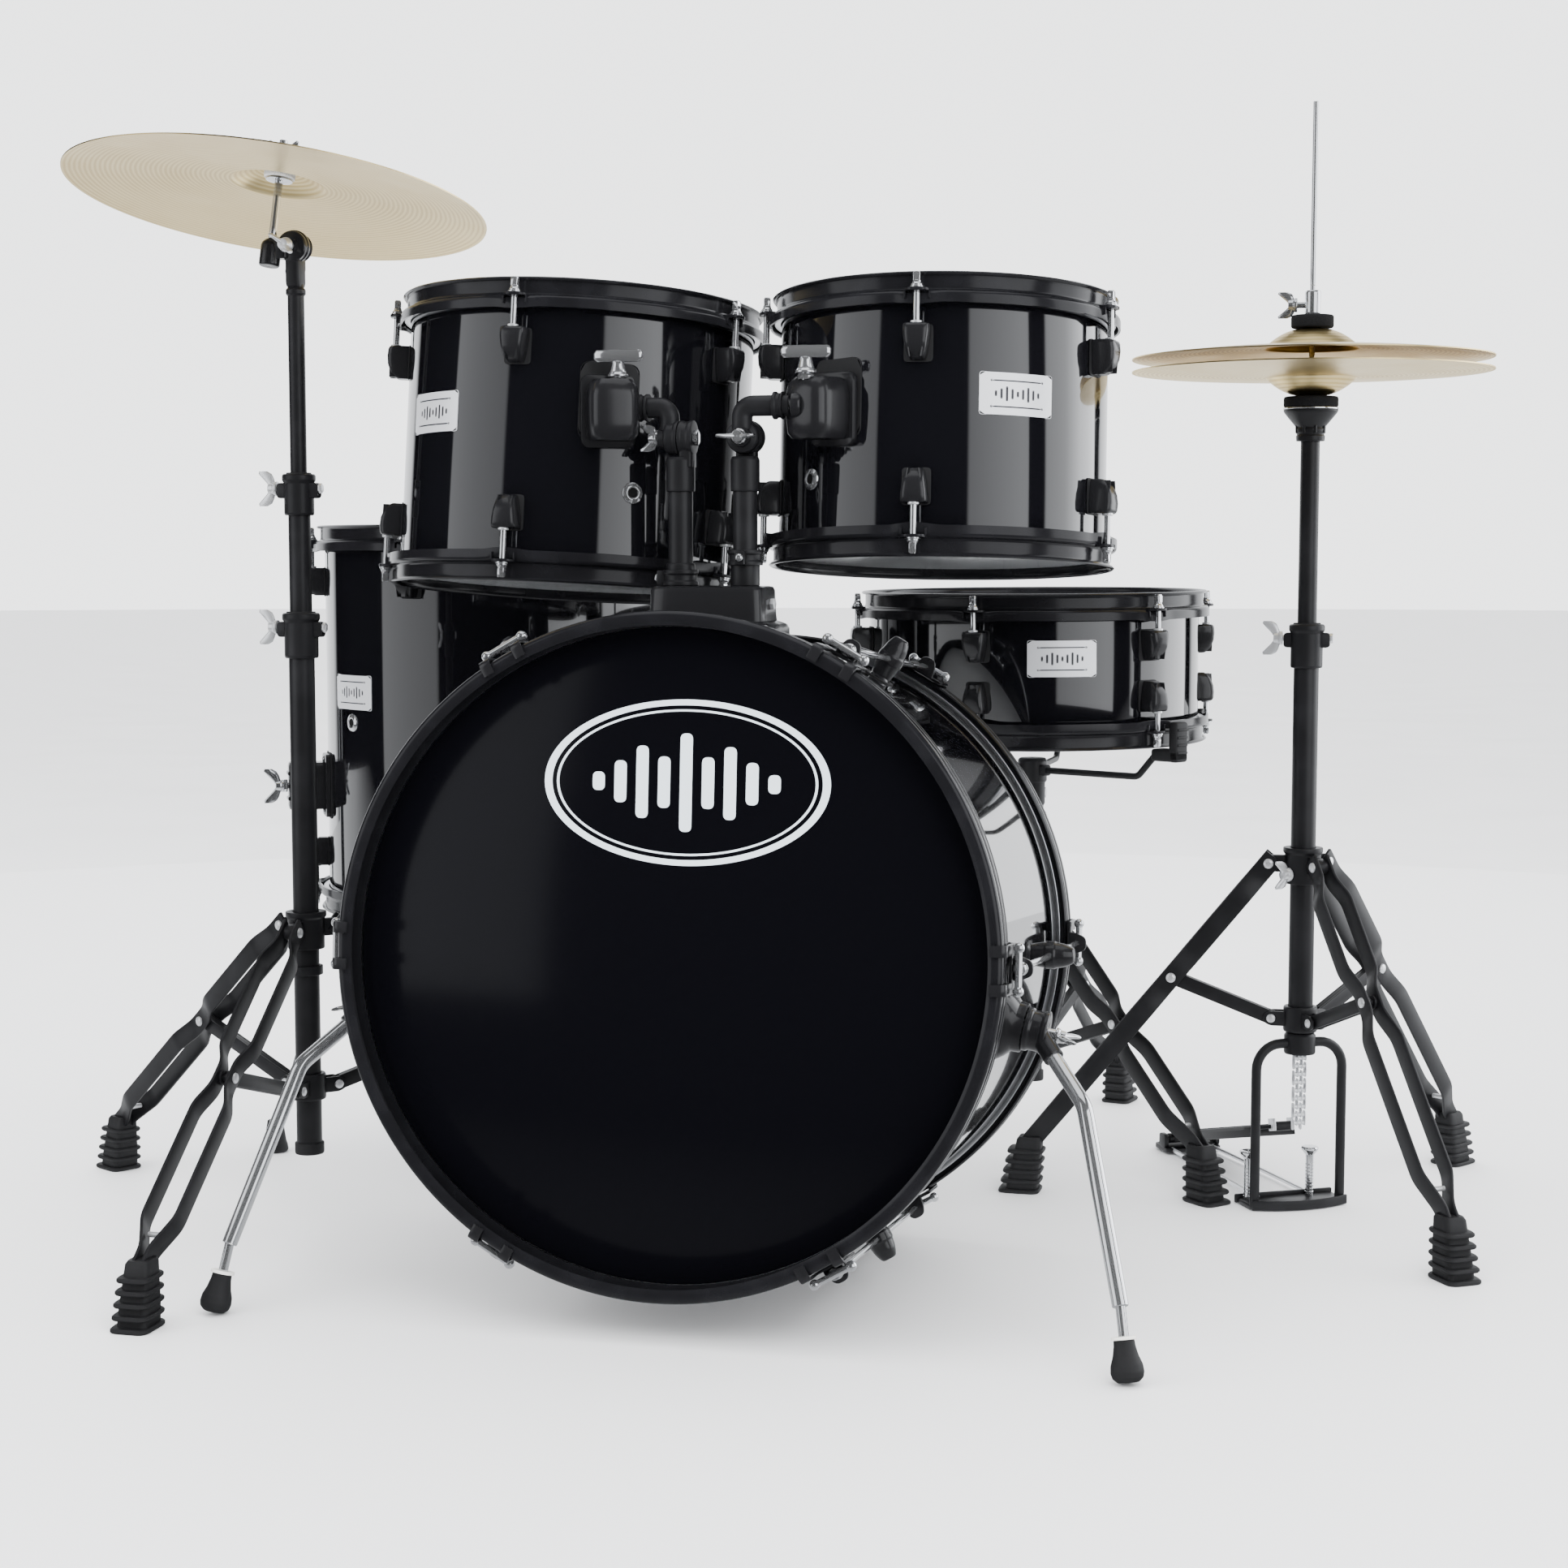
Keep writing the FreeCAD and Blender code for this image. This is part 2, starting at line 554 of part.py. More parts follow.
# ---- snare strainer and wires, about the snare's middle ----------------------------------------------
STRAINER_ANGLE = 50.2
BUTT_ANGLE = STRAINER_ANGLE + 180
LEVER_PIVOT = (SNARE.radius + 16.5, -20.0)   # out from the axis, up from the middle


def gated_hoops():
    """The snare's hoops; the lower one has a gate at each end of the wires."""
    upper, lower = drum_hoop(SNARE, 1), drum_hoop(SNARE, -1)
    edge = SNARE.depth / 2
    for angle in (STRAINER_ANGLE, BUTT_ANGLE):
        gate = block(30, 34, 20, Vector(SNARE.radius + 5, 0, -edge - 4))
        lower = lower.cut(spun(gate, angle))
    return [upper, lower]


def snare_strainer():
    """The throw-off's housing and, across the drum, the butt plate."""
    radius = SNARE.radius
    body = block(20, 26, 66, Vector(radius, 0, -6))
    body = rounded(body, 3, lambda e: e.CenterOfMass.x > radius + 8)
    ears = [block(18, 4, 18, Vector(radius + 14, y, LEVER_PIVOT[1])) for y in (-9, 9)]
    pin = cylinder(2.2, 24, Vector(LEVER_PIVOT[0], -12, LEVER_PIVOT[1]), Y_AXIS)
    knob = cylinder(7, 13, Vector(radius + 8, 0, 26.5))
    barrel = cylinder(radius, 200, Vector(0, 0, -100))
    house = fused([body] + ears + [pin, knob]).cut(barrel)
    butt = rounded(block(16, 34, 24, Vector(radius, 0, -38)), 3, lambda e: e.CenterOfMass.x > radius + 6)
    return [spun(house, STRAINER_ANGLE), spun(butt.cut(barrel), BUTT_ANGLE)]


def strainer_lever():
    """The lever stands upright against the housing when the wires are on."""
    radius = SNARE.radius
    blade = block(4, 13, 52, Vector(radius + 18, 0, LEVER_PIVOT[1] + 24))
    hub = cylinder(5.5, 13, Vector(LEVER_PIVOT[0], -6.5, LEVER_PIVOT[1]), Y_AXIS)
    lip = block(9, 13, 4, Vector(radius + 21, 0, LEVER_PIVOT[1] + 50))
    bore = cylinder(2.2 + GAP, 40, Vector(LEVER_PIVOT[0], -20, LEVER_PIVOT[1]), Y_AXIS)
    return spun(fused([blade, hub, lip]).cut(bore), STRAINER_ANGLE)


def snare_wires():
    """Twenty wires between two end plates, with a strap to the strainer and one to the butt plate."""
    edge, count, pitch = SNARE.depth / 2, 20, 2.1
    level = -edge - 0.4 - GAP - 0.9
    half = SNARE.radius - 34
    pieces = []
    for i in range(count):
        y = (i - (count - 1) / 2) * pitch
        pieces.append(cylinder(0.8, 2 * half, Vector(-half, y, level), X_AXIS))
    for end in (-1, 1):
        pieces.append(block(12, 44, 1.7, Vector(end * (half + 5), 0, level)))
        pieces.append(block(30, 18, 0.8, Vector(end * (half + 25.5), 0, level)))
    return spun(fused(pieces), STRAINER_ANGLE)


def make_snare():
    make_drum("snare", SNARE, gated_hoops())
    save("snare_strainer", [in_drum(SNARE, piece) for piece in snare_strainer()])
    save("snare_strainer_lever", in_drum(SNARE, strainer_lever()))
    save("snare_wires", in_drum(SNARE, snare_wires()))


# ---- tripods: a sliding hub, double-strap legs and braces --------------------------------------------
Tripod = namedtuple("Tripod", "centre angles tube pivot_out pivot_z rivet_z brace_out brace_z foot_out")
HIHAT_TRIPOD = Tripod(HIHAT, HIHAT_LEGS, 12.5, 34.0, 355.0, 234.0, 29.0, 196.0, 285.0)
CRASH_TRIPOD = Tripod(CRASH, CRASH_LEGS, 12.5, 34.0, 300.0, 185.0, 29.0, 142.0, 355.0)
SNARE_TRIPOD = Tripod(SNARE_STAND, SNARE_LEGS, 11.0, 32.0, 262.0, 165.0, 27.0, 122.0, 290.0)
ANKLE_Z = 52.0                 # where the straps enter the rubber foot
PINCH = 7.0                    # half the spacing of the strap pair at the pivots
BULGE = 16.0                   # and where the straps bow apart
EAR = 9.6                      # thickness of the hub's ears and of the braces


def leg_points(t):
    """Pivot, rivet and ankle of a leg, as (out, up)."""
    ankle = (t.foot_out - 8, ANKLE_Z)
    share = (t.pivot_z - t.rivet_z) / (t.pivot_z - ankle[1])
    rivet = (t.pivot_out + (ankle[0] - t.pivot_out) * share, t.rivet_z)
    return (t.pivot_out, t.pivot_z), rivet, ankle


def to_leg_plane(t, angle, shape, at, drop):
    """Moves a piece made along +X, with its width along Z, to a point of a leg's plane, aimed drop degrees down."""
    copy = spun(shape, drop, ORIGIN, Y_AXIS)
    copy.translate(Vector(at[0], 0, at[1]))
    copy = spun(copy, angle)
    copy.translate(t.centre)
    return copy


def slope_of(start, end):
    return math.degrees(math.atan2(start[1] - end[1], end[0] - start[0]))


def leg_straps(t, angle):
    """Two flat straps that bow apart between the pivot, the rivet and the foot, with the rivet's two heads."""
    pivot, rivet, ankle = leg_points(t)
    length = math.hypot(ankle[0] - pivot[0], ankle[1] - pivot[1])
    at_rivet = math.hypot(rivet[0] - pivot[0], rivet[1] - pivot[1])
    thick, wide = STRAP
    line = [(0, PINCH), (18, PINCH), (38, BULGE), (at_rivet - 34, BULGE), (at_rivet - 14, PINCH),
            (at_rivet + 14, PINCH), (at_rivet + 38, BULGE), (length - 48, BULGE), (length - 16, PINCH - 2.6),
            (length + 6, PINCH - 2.6)]
    outline = ribbon(line, thick)
    wire = Part.makePolygon([Vector(x, y, -wide / 2) for x, y in outline + outline[:1]])
    strap = Part.Face(wire).extrude(UP * wide)
    tip = cylinder(wide / 2, thick, Vector(0, PINCH - thick / 2, 0), Y_AXIS)
    bore = cylinder(3 + GAP, 40, Vector(0, -20, 0), Y_AXIS)
    head = cone(4.5, 3, 2.2, Vector(at_rivet, PINCH + thick / 2, 0), Y_AXIS)
    strap = fused([strap, tip, head]).cut(bore)
    twin = strap.mirror(ORIGIN, Y_AXIS)
    drop = slope_of(pivot, ankle)
    return [to_leg_plane(t, angle, side, pivot, drop) for side in (strap, twin)]


def rubber_foot(t, angle):
    """A ribbed boot over the straps' ends, standing on the floor."""
    core = Part.makeLoft([rectangle(34, 30, 0), rectangle(26, 22, 58)], True)
    ribs = []
    for i in range(5):
        z = 3 + 10.5 * i
        shrink = 7.5 * z / 58
        ribs.append(block(44 - shrink, 37 - shrink, 4.2, Vector(2, 0, z + 2.1 - 3)))
    boot = fused([core] + ribs)
    boot.translate(Vector(t.foot_out, 0, 0))
    boot = spun(boot, angle)
    boot.translate(t.centre)
    for strap in leg_straps(t, angle):
        boot = boot.cut(strap)
    return boot


def rectangle(x, y, z):
    corners = [(-1, -1), (1, -1), (1, 1), (-1, 1), (-1, -1)]
    return Part.makePolygon([Vector(i * x / 2, j * y / 2, z) for i, j in corners])


def brace(t, angle):
    """A flat bar from the fixed collar to the space between a leg's straps."""
    _, rivet, _ = leg_points(t)
    start = (t.brace_out, t.brace_z)
    length = math.hypot(rivet[0] - start[0], rivet[1] - start[1])
    bar = block(length, EAR, 14, Vector(length / 2, 0, 0))
    ends = [cylinder(7, EAR, Vector(x, -EAR / 2, 0), Y_AXIS) for x in (0, length)]
    bore = cylinder(3 + GAP, 40, Vector(0, -20, 0), Y_AXIS)
    return to_leg_plane(t, angle, fused([bar] + ends).cut(bore), start, slope_of(start, rivet))


def leg_hub(t, bore_gap):
    """The ring on the tube that the legs turn on; each ear carries its own pin."""
    ring = cylinder(18.0, 36, Vector(0, 0, t.pivot_z - 20))
    lip = cylinder(20.0, 5, Vector(0, 0, t.pivot_z + 12))
    pieces = [ring, lip]
    for angle in t.angles:
        ear = block(t.pivot_out - 8, EAR, 17, Vector(t.pivot_out / 2 + 4, 0, t.pivot_z))
        nose = cylinder(8.5, EAR, Vector(t.pivot_out, -EAR / 2, t.pivot_z), Y_AXIS)
        reach = PINCH + STRAP[0] / 2 + GAP
        pin = cylinder(3, 2 * reach, Vector(t.pivot_out, -reach, t.pivot_z), Y_AXIS)
        heads = [cylinder(5, 2, Vector(t.pivot_out, y, t.pivot_z), Y_AXIS) for y in (-reach - 2, reach)]
        pieces += [spun(piece, angle) for piece in [ear, nose, pin] + heads]
    hub = fused(pieces).cut(cylinder(t.tube + bore_gap, 90, Vector(0, 0, t.pivot_z - 45)))
    hub.translate(t.centre)
    return hub


def brace_collar(t):
    """The fixed collar near the foot of the tube, with a forked ear and a pin for each brace."""
    pieces = [cylinder(17.0, 26, Vector(0, 0, t.brace_z - 13))]
    inside = EAR / 2 + GAP
    for angle in t.angles:
        for y in (inside + 1.4, -inside - 1.4):
            ear = block(t.brace_out - 4, 2.8, 15, Vector(t.brace_out / 2 + 3, y, t.brace_z))
            nose = cylinder(7.5, 2.8, Vector(t.brace_out + 1, y - 1.4, t.brace_z), Y_AXIS)
            pieces += [spun(ear, angle), spun(nose, angle)]
        pin = cylinder(3, 2 * inside + 9.6, Vector(t.brace_out, -inside - 4.8, t.brace_z), Y_AXIS)
        pieces.append(spun(pin, angle))
    collar = pieces[0]
    for piece in pieces[1:]:
        collar = collar.fuse(piece)
    collar = collar.removeSplitter().copy()
    collar.translate(t.centre)
    return collar


def fixed_tripod(t):
    """Every piece of a tripod as a group of solids."""
    pieces = []
    for angle in t.angles:
        pieces += leg_straps(t, angle) + [rubber_foot(t, angle), brace(t, angle)]
    return pieces


# ---- tube clamps -------------------------------------------------------------------------------------
def clamp_collar(centre, low, high, outer, inner, hand=-1):
    """The split collar at a tube's mouth, its clamping lug and the wing nut."""
    sleeve = cylinder(outer, high - low, Vector(0, 0, low))
    mouth = cylinder(outer + 1.5, 5, Vector(0, 0, high - 5))
    lug = block(outer * 2 + 12, 11, 15, Vector(0, 0, high - 14))
    collar = fused([sleeve, mouth, rounded(lug, 3)])
    collar = collar.cut(cylinder(inner, high - low + 40, Vector(0, 0, low - 20)))
    nut = wing_nut(Vector(hand * (outer + 8), 0, high - 14), X_AXIS * hand, 34)
    pieces = [collar, nut]
    for piece in pieces:
        piece.translate(centre)
    return pieces


# ---- hi-hat ------------------------------------------------------------------------------------------
HH_UPPER = 9.5
HH_ROD = 3.0
HH_CLAMP = (554.0, 598.0)
HH_SEAT = 790.0
HH_EDGE_LOW = 850.4            # rims of the two cymbals
HH_EDGE_HIGH = 863.0
HH_CYMBAL = 178.0
FRAME_SPAN = 48.0              # half the pedal frame's width
FRAME_TOP = 171.0
CHAIN_LOW = 84.0
HEEL_OUT = 262.0               # the footboard's hinge, from the tube
HEEL_Z = 16.0


def cymbal(radius, bell, bell_rise, bow_rise, thickness, hole, flip=1):
    """A turned bronze disc: the rim at height 0, a gentle bow and a raised bell."""
    line = [(hole, bell_rise + bow_rise)]
    steps = 7
    for i in range(1, steps + 1):
        share = i / steps
        line.append((hole + (bell - hole) * share, bow_rise + bell_rise * (1 - share ** 2.2)))
    for i in range(1, steps + 1):
        share = i / steps
        line.append((bell + (radius - bell) * share, bow_rise * (1 - share ** 1.6)))
    return turned([(r, flip * z) for r, z in ribbon(line, thickness)])


def pedal_frame():
    """The arched tube, the floor plate with its heel strap and the two floor spurs."""
    turn = PEDAL_ANGLE - 90
    s, top = FRAME_SPAN, FRAME_TOP
    arch = bent_rod([Vector(-s, 0, 4), Vector(-s, 0, top), Vector(s, 0, top), Vector(s, 0, 4)], 5, 26)
    plate = rounded(block(2 * s + 14, 54, 6, Vector(0, 6, 4)), 1.5)
    wires = []
    for x in (-30, 30):
        wires.append(bent_rod([Vector(x, 28, 5), Vector(x * 0.9, HEEL_OUT - 60, 5), Vector(x * 0.8, HEEL_OUT, 5)],
                              2.4, 60))
    heel = rounded(block(66, 40, 6, Vector(0, HEEL_OUT + 4, 5)), 1.5)
    ears = [block(5, 16, 16, Vector(x, HEEL_OUT, HEEL_Z - 2)) for x in (-31, 31)]
    pin = cylinder(2.5, 66, Vector(-33, HEEL_OUT, HEEL_Z), X_AXIS)
    screws = []
    for x in (-s + 4, s - 22):
        screws.append(cylinder(4, 52, Vector(x, 24, 1)))
        screws.append(cylinder(7, 5, Vector(x, 24, 52)))
    frame = fused([arch, plate, heel] + wires + ears + [pin] + screws)
    frame = spun(frame, turn)
    frame.translate(HIHAT)
    return frame


def footboard():
    """The tread, its side flanges and the toe link that the chain pulls."""
    toe = 34.0
    run = HEEL_OUT - toe
    rise = CHAIN_LOW - 12 - HEEL_Z
    length = math.hypot(run, rise)
    tread = rounded(block(length - 14, 52, 4, Vector(length / 2 + 6, 0, 5)), 1.2)
    flanges = [block(length - 24, 2.6, 11, Vector(length / 2 + 4, y, 1.0)) for y in (-24.5, 24.5)]
    hinge = cylinder(5.5, 52, Vector(0, -26, 0), Y_AXIS)
    web = block(18, 46, 5, Vector(8, 0, 3))
    link = cylinder(5, 18, Vector(length, -9, 5), Y_AXIS)
    board = fused([tread, hinge, web, link] + flanges)
    board = board.cut(cylinder(2.5 + GAP, 80, Vector(0, -40, 0), Y_AXIS))
    board = spun(board, -math.degrees(math.atan2(rise, run)), ORIGIN, Y_AXIS)
    board = spun(board, 180)
    board.translate(Vector(HEEL_OUT, 0, HEEL_Z))
    board = spun(board, PEDAL_ANGLE)
    board.translate(HIHAT)
    return board


def hihat_tube():
    """Lower tube with its clamp, brace collar, bottom cap and the pedal frame."""
    tube = pipe(12.5, 11.3, 412, HIHAT + UP * 172)
    cap = pipe(16, 5, 22, HIHAT + UP * 160)
    collar = brace_collar(HIHAT_TRIPOD).cut(cylinder(12, 60, HIHAT + UP * 165))
    clamp, nut = clamp_collar(HIHAT, HH_CLAMP[0], HH_CLAMP[1], 16, HH_UPPER + GAP)
    clamp = clamp.cut(cylinder(11.3, 20, HIHAT + UP * 553))
    frame = pedal_frame().cut(cylinder(12, 60, HIHAT + UP * 155))
    return [fused([tube, cap, collar, clamp, frame]), nut]


def hihat_upper():
    """Upper tube, the funnel seat and the felt under the lower cymbal."""
    tube = cylinder(HH_UPPER, HH_SEAT - 410, Vector(0, 0, 410))
    seat = turned([(0, -6), (14, -6), (16, 8), (21, 16), (26, 20), (27, 28), (0, 28)])
    seat.translate(UP * (HH_SEAT - 4))
    body = fused([tube, seat]).cut(cylinder(HH_ROD + 1.5, 600, Vector(0, 0, 300)))
    felt = pipe(27, HH_ROD + 1.5, 11, UP * (HH_SEAT + 24.2))
    pieces = [body, felt]
    for piece in pieces:
        piece.translate(HIHAT)
    return pieces


def hihat_rod():
    """Pull rod and the chain at its foot."""
    rod = cylinder(HH_ROD - 0.5, 935 - 158, Vector(0, 0, 158)).fuse(cylinder(HH_ROD, 1115 - 935, UP * 935))
    links = []
    for i in range(6):
        z = CHAIN_LOW + 8 + 12.4 * i
        ring = Part.makeTorus(5.4, 1.9, Vector(0, 0, z), X_AXIS if i % 2 else Y_AXIS)
        links.append(ring)
    body = fused([rod] + links)
    body.translate(HIHAT)
    return body


def hihat_clutch():
    """Threaded sleeve with the thumb screw, the felts that hold the upper cymbal and the lower nut."""
    sleeve = pipe(7.8, HH_ROD + 0.2, 24, UP * 906)
    stem = pipe(5.2, HH_ROD + 0.2, 20, UP * 887)
    felt = pipe(21, 5.4, 13, UP * 892.8)
    nut = pipe(10, HH_ROD + 0.2, 7, UP * 881)
    screw = fused([cylinder(3, 9, Vector(-7, 0, 916), Vector(-1, 0, 0)),
                   wing_nut(Vector(-15, 0, 916), Vector(-1, 0, 0), 26)])
    pieces = [fused([sleeve, stem, nut]), felt, screw.cut(cylinder(7.8, 40, UP * 895))]
    for piece in pieces:
        piece.translate(HIHAT)
    return pieces


def make_hihat():
    save("hihat_base_tube", hihat_tube())
    save("hihat_upper_tube", hihat_upper())
    save("hihat_pull_rod", hihat_rod())
    save("hihat_clutch", hihat_clutch())
    save("hihat_footboard", footboard())
    top = cymbal(HH_CYMBAL, 47, 19, 10, 1.2, 6.0)
    top.translate(HIHAT + UP * HH_EDGE_HIGH)
    low = cymbal(HH_CYMBAL, 45, 18, 6, 1.2, 6.0, -1)
    low.translate(HIHAT + UP * HH_EDGE_LOW)
    save("hihat_top_cymbal", top)
    save("hihat_bottom_cymbal", low)
    save("hihat_leg_hub", leg_hub(HIHAT_TRIPOD, GAP))
    for number, angle in enumerate(HIHAT_LEGS, 1):
        save("hihat_leg_%d" % number, leg_straps(HIHAT_TRIPOD, angle) + [rubber_foot(HIHAT_TRIPOD, angle)])
        save("hihat_brace_%d" % number, brace(HIHAT_TRIPOD, angle))


# ---- crash cymbal stand ------------------------------------------------------------------------------
CRASH_LEAN = Vector(0.065, 0.167, 0.984).normalize()
CRASH_RIM = Vector(-466, 274, 1008)
CRASH_RADIUS = 203.0
CRASH_PIVOT = CRASH + UP * 964
CRASH_MID = 10.8
CRASH_TOP = 8.0


def crash_base():
    tube = pipe(12.5, 11.3, 510, CRASH + UP * 85)
    cap = cylinder(14.5, 12, CRASH + UP * 74)
    collar = brace_collar(CRASH_TRIPOD)
    hub = leg_hub(CRASH_TRIPOD, 0)
    clamp, nut = clamp_collar(CRASH, 567, 611, 16.5, CRASH_MID + GAP)
    clamp = clamp.cut(cylinder(11.3, 30, CRASH + UP * 566))
    bore = cylinder(11.3, 500, CRASH + UP * 90)
    return [fused([tube, cap, collar, hub]).cut(bore).fuse(clamp).removeSplitter(), nut]


def crash_middle():
    tube = pipe(CRASH_MID, CRASH_TOP + 1.4, 300, CRASH + UP * 430)
    clamp, nut = clamp_collar(CRASH, 706, 746, 14.5, CRASH_TOP + GAP)
    clamp = clamp.cut(cylinder(CRASH_TOP + 1.4, 20, CRASH + UP * 700))
    return [fused([tube, clamp]), nut]


def crash_top():
    """Top tube, its tapered end, and the fixed half of the tilter with its bolt and wing nut."""
    tube = cylinder(CRASH_TOP, 320, CRASH + UP * 600)
    taper = cone(CRASH_TOP, 6.5, 12, CRASH + UP * 920)
    head = rounded(block(15, 20, 32, CRASH + UP * 942), 2)
    cheek = cylinder(14, 9.5, CRASH_PIVOT + Y_AXIS * 0.4, Y_AXIS)
    arm = block(15, 9.5, 20, CRASH_PIVOT + Vector(0, 5.2, -12))
    bolt = cylinder(3.6, 31.7, CRASH_PIVOT + Y_AXIS * 12, Vector(0, -1, 0))
    nut = cylinder(6, 4, CRASH_PIVOT + Y_AXIS * 9.5, Y_AXIS)
    body = fused([tube, taper, head, cheek, arm, bolt, nut])
    recess = cylinder(17, 22, CRASH_PIVOT + Vector(0, -22, 0), Y_AXIS)
    body = body.cut(recess.cut(cylinder(3.6, 60, CRASH_PIVOT - Y_AXIS * 40, Y_AXIS)))
    return [body, wing_nut(CRASH_PIVOT - Y_AXIS * 20, Vector(0, -1, 0), 30)]


def crash_tilter():
    """The turning half, its side arm and the leaning rod with its washer, felts, sleeve and nut."""
    disc = cylinder(16, 11, CRASH_PIVOT - Y_AXIS * 11.3, Y_AXIS)
    rod_foot = CRASH_RIM - CRASH_LEAN * 58
    seat = CRASH_RIM + CRASH_LEAN * 31
    holder = cylinder(10, 26, rod_foot - CRASH_LEAN * 6, CRASH_LEAN)
    arm = rounded(block(20, 15, 20, Vector(-461, 267, 962)), 3)
    rod = cylinder(4, 118, rod_foot, CRASH_LEAN)
    bore = cylinder(3.6 + GAP, 60, CRASH_PIVOT - Y_AXIS * 40, Y_AXIS)
    body = fused([disc, arm, holder, rod]).cut(bore)
    washer = pipe(13, 4, 2, seat - CRASH_LEAN * 10.8, CRASH_LEAN)
    felt = pipe(15, 4, 7, seat - CRASH_LEAN * 8.7, CRASH_LEAN)
    top_felt = pipe(14, 4, 8, seat + CRASH_LEAN * 1.2, CRASH_LEAN)
    wing = wing_nut(seat + CRASH_LEAN * 12, CRASH_LEAN, 34).cut(cylinder(4, 80, seat, CRASH_LEAN))
    return [body, washer, felt, top_felt, wing]


def make_crash():
    save("crash_base_tube", crash_base())
    save("crash_legs", fixed_tripod(CRASH_TRIPOD))
    save("crash_middle_tube", crash_middle())
    save("crash_top_tube", crash_top())
    save("crash_tilter", crash_tilter())
    dish = cymbal(CRASH_RADIUS, 46, 14, 17, 1.2, 6.0)
    save("crash_cymbal", placed(dish, CRASH_RIM, CRASH_LEAN))


# ---- snare stand -------------------------------------------------------------------------------------
BASKET_Z = 434.0               # height of the arms
BASKET_PIVOT = SNARE_STAND + UP * (BASKET_Z - 30)
BASKET_ANGLES = (-32.0, 88.0, 208.0)


def snare_base():
    tube = pipe(11, 9.9, 262, SNARE_STAND + UP * 90)
    cap = cylinder(13, 10, SNARE_STAND + UP * 81)
    collar, hub = brace_collar(SNARE_TRIPOD), leg_hub(SNARE_TRIPOD, 0)
    bore = cylinder(9.9, 300, SNARE_STAND + UP * 95)
    clamp, nut = clamp_collar(SNARE_STAND, 322, 358, 14, 8 + GAP)
    clamp = clamp.cut(cylinder(9.9, 20, SNARE_STAND + UP * 320))
    return [fused([tube, cap, collar, hub]).cut(bore).fuse(clamp).removeSplitter(), nut]


def snare_upper():
    """Inner tube with the fixed half of the basket's tilter."""
    pivot = BASKET_PIVOT
    tube = cylinder(8, pivot.z - 22 - 210, SNARE_STAND + UP * 210)
    cheek = cylinder(13, 9, pivot + X_AXIS * GAP, X_AXIS)
    neck = block(9, 18, 26, pivot + Vector(4.8, 0, -16))
    bolt = cylinder(3.5, 34, pivot + X_AXIS * 10, Vector(-1, 0, 0))
    body = fused([tube, neck, cheek, bolt])
    return [body, wing_nut(pivot - X_AXIS * 24.3, Vector(-1, 0, 0), 32)]


def snare_basket():
    """Tilting hub, three bent arms and the rubber grips that hold the snare's lower hoop."""
    pivot = BASKET_PIVOT
    cheek = cylinder(13, 9, pivot - X_AXIS * 9.2, X_AXIS)
    hub_at = Vector(SNARE.centre.x, SNARE.centre.y, BASKET_Z)
    link = Part.makeBox(9, (pivot - hub_at).y, 18, Vector(pivot.x - 9.2, hub_at.y, pivot.z - 9))
    hub = cylinder(16, 26, hub_at - UP * 13).fuse(cylinder(14, 30, hub_at - UP * 40))
    body = fused([cheek, link, hub]).cut(cylinder(3.5 + GAP, 60, pivot - X_AXIS * 30, X_AXIS))
    arms, grips = [], []
    under = SNARE.centre.z - SNARE.depth / 2 - LIP_RISE
    out = SNARE.radius + 10
    for angle in BASKET_ANGLES:
        points = [polar(15.5, angle, BASKET_Z), polar(out - 42, angle, BASKET_Z + 1), polar(out - 18, angle, under - 9),
                  polar(out + 4, angle, under - 9)]
        arm = bent_rod(points, 3.6, 12)
        sole = block(34, 20, 13, Vector(out - 1, 0, under - 9.2))
        wall = block(11, 20, 42, Vector(out + 10.5, 0, under + 5))
        grip = spun(fused([sole, wall]), angle)
        for shape in (arm, grip):
            shape.translate(Vector(SNARE.centre.x, SNARE.centre.y, 0))
        arms.append(arm)
        grips.append(grip.cut(arm))
    return [body] + [arm.cut(body) for arm in arms] + grips


def make_snare_stand():
    save("snare_stand_base", snare_base())
    save("snare_stand_legs", fixed_tripod(SNARE_TRIPOD))
    save("snare_stand_upper_tube", snare_upper())
    save("snare_basket", snare_basket())


make_bass()
make_drum("tom_12", TOM_12)
make_drum("tom_13", TOM_13)
make_tom_holders()
make_drum("floor_tom", FLOOR_TOM)
make_floor_tom_legs()
make_snare()
make_hihat()
make_crash()
make_snare_stand()

os.makedirs("parts", exist_ok=True)
whole = Part.makeCompound(list(PARTS.values())).BoundBox
print("nodes", len(PARTS), "size", round(whole.XLength), round(whole.YLength), round(whole.ZLength))
print("middle", round(whole.Center.x, 1), round(whole.Center.y, 1), "lowest", round(whole.ZMin, 2))
for node, shape in PARTS.items():
    shape.exportStep("parts/%s.step" % node)
    good = shape.isValid() and all(solid.isClosed() for solid in shape.Solids)
    if not good or not shape.Solids:
        print("check", node, "valid", shape.isValid(), "solids", len(shape.Solids))
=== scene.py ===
import bmesh
import bpy
import math
from collections import namedtuple
from mathutils import Matrix, Vector


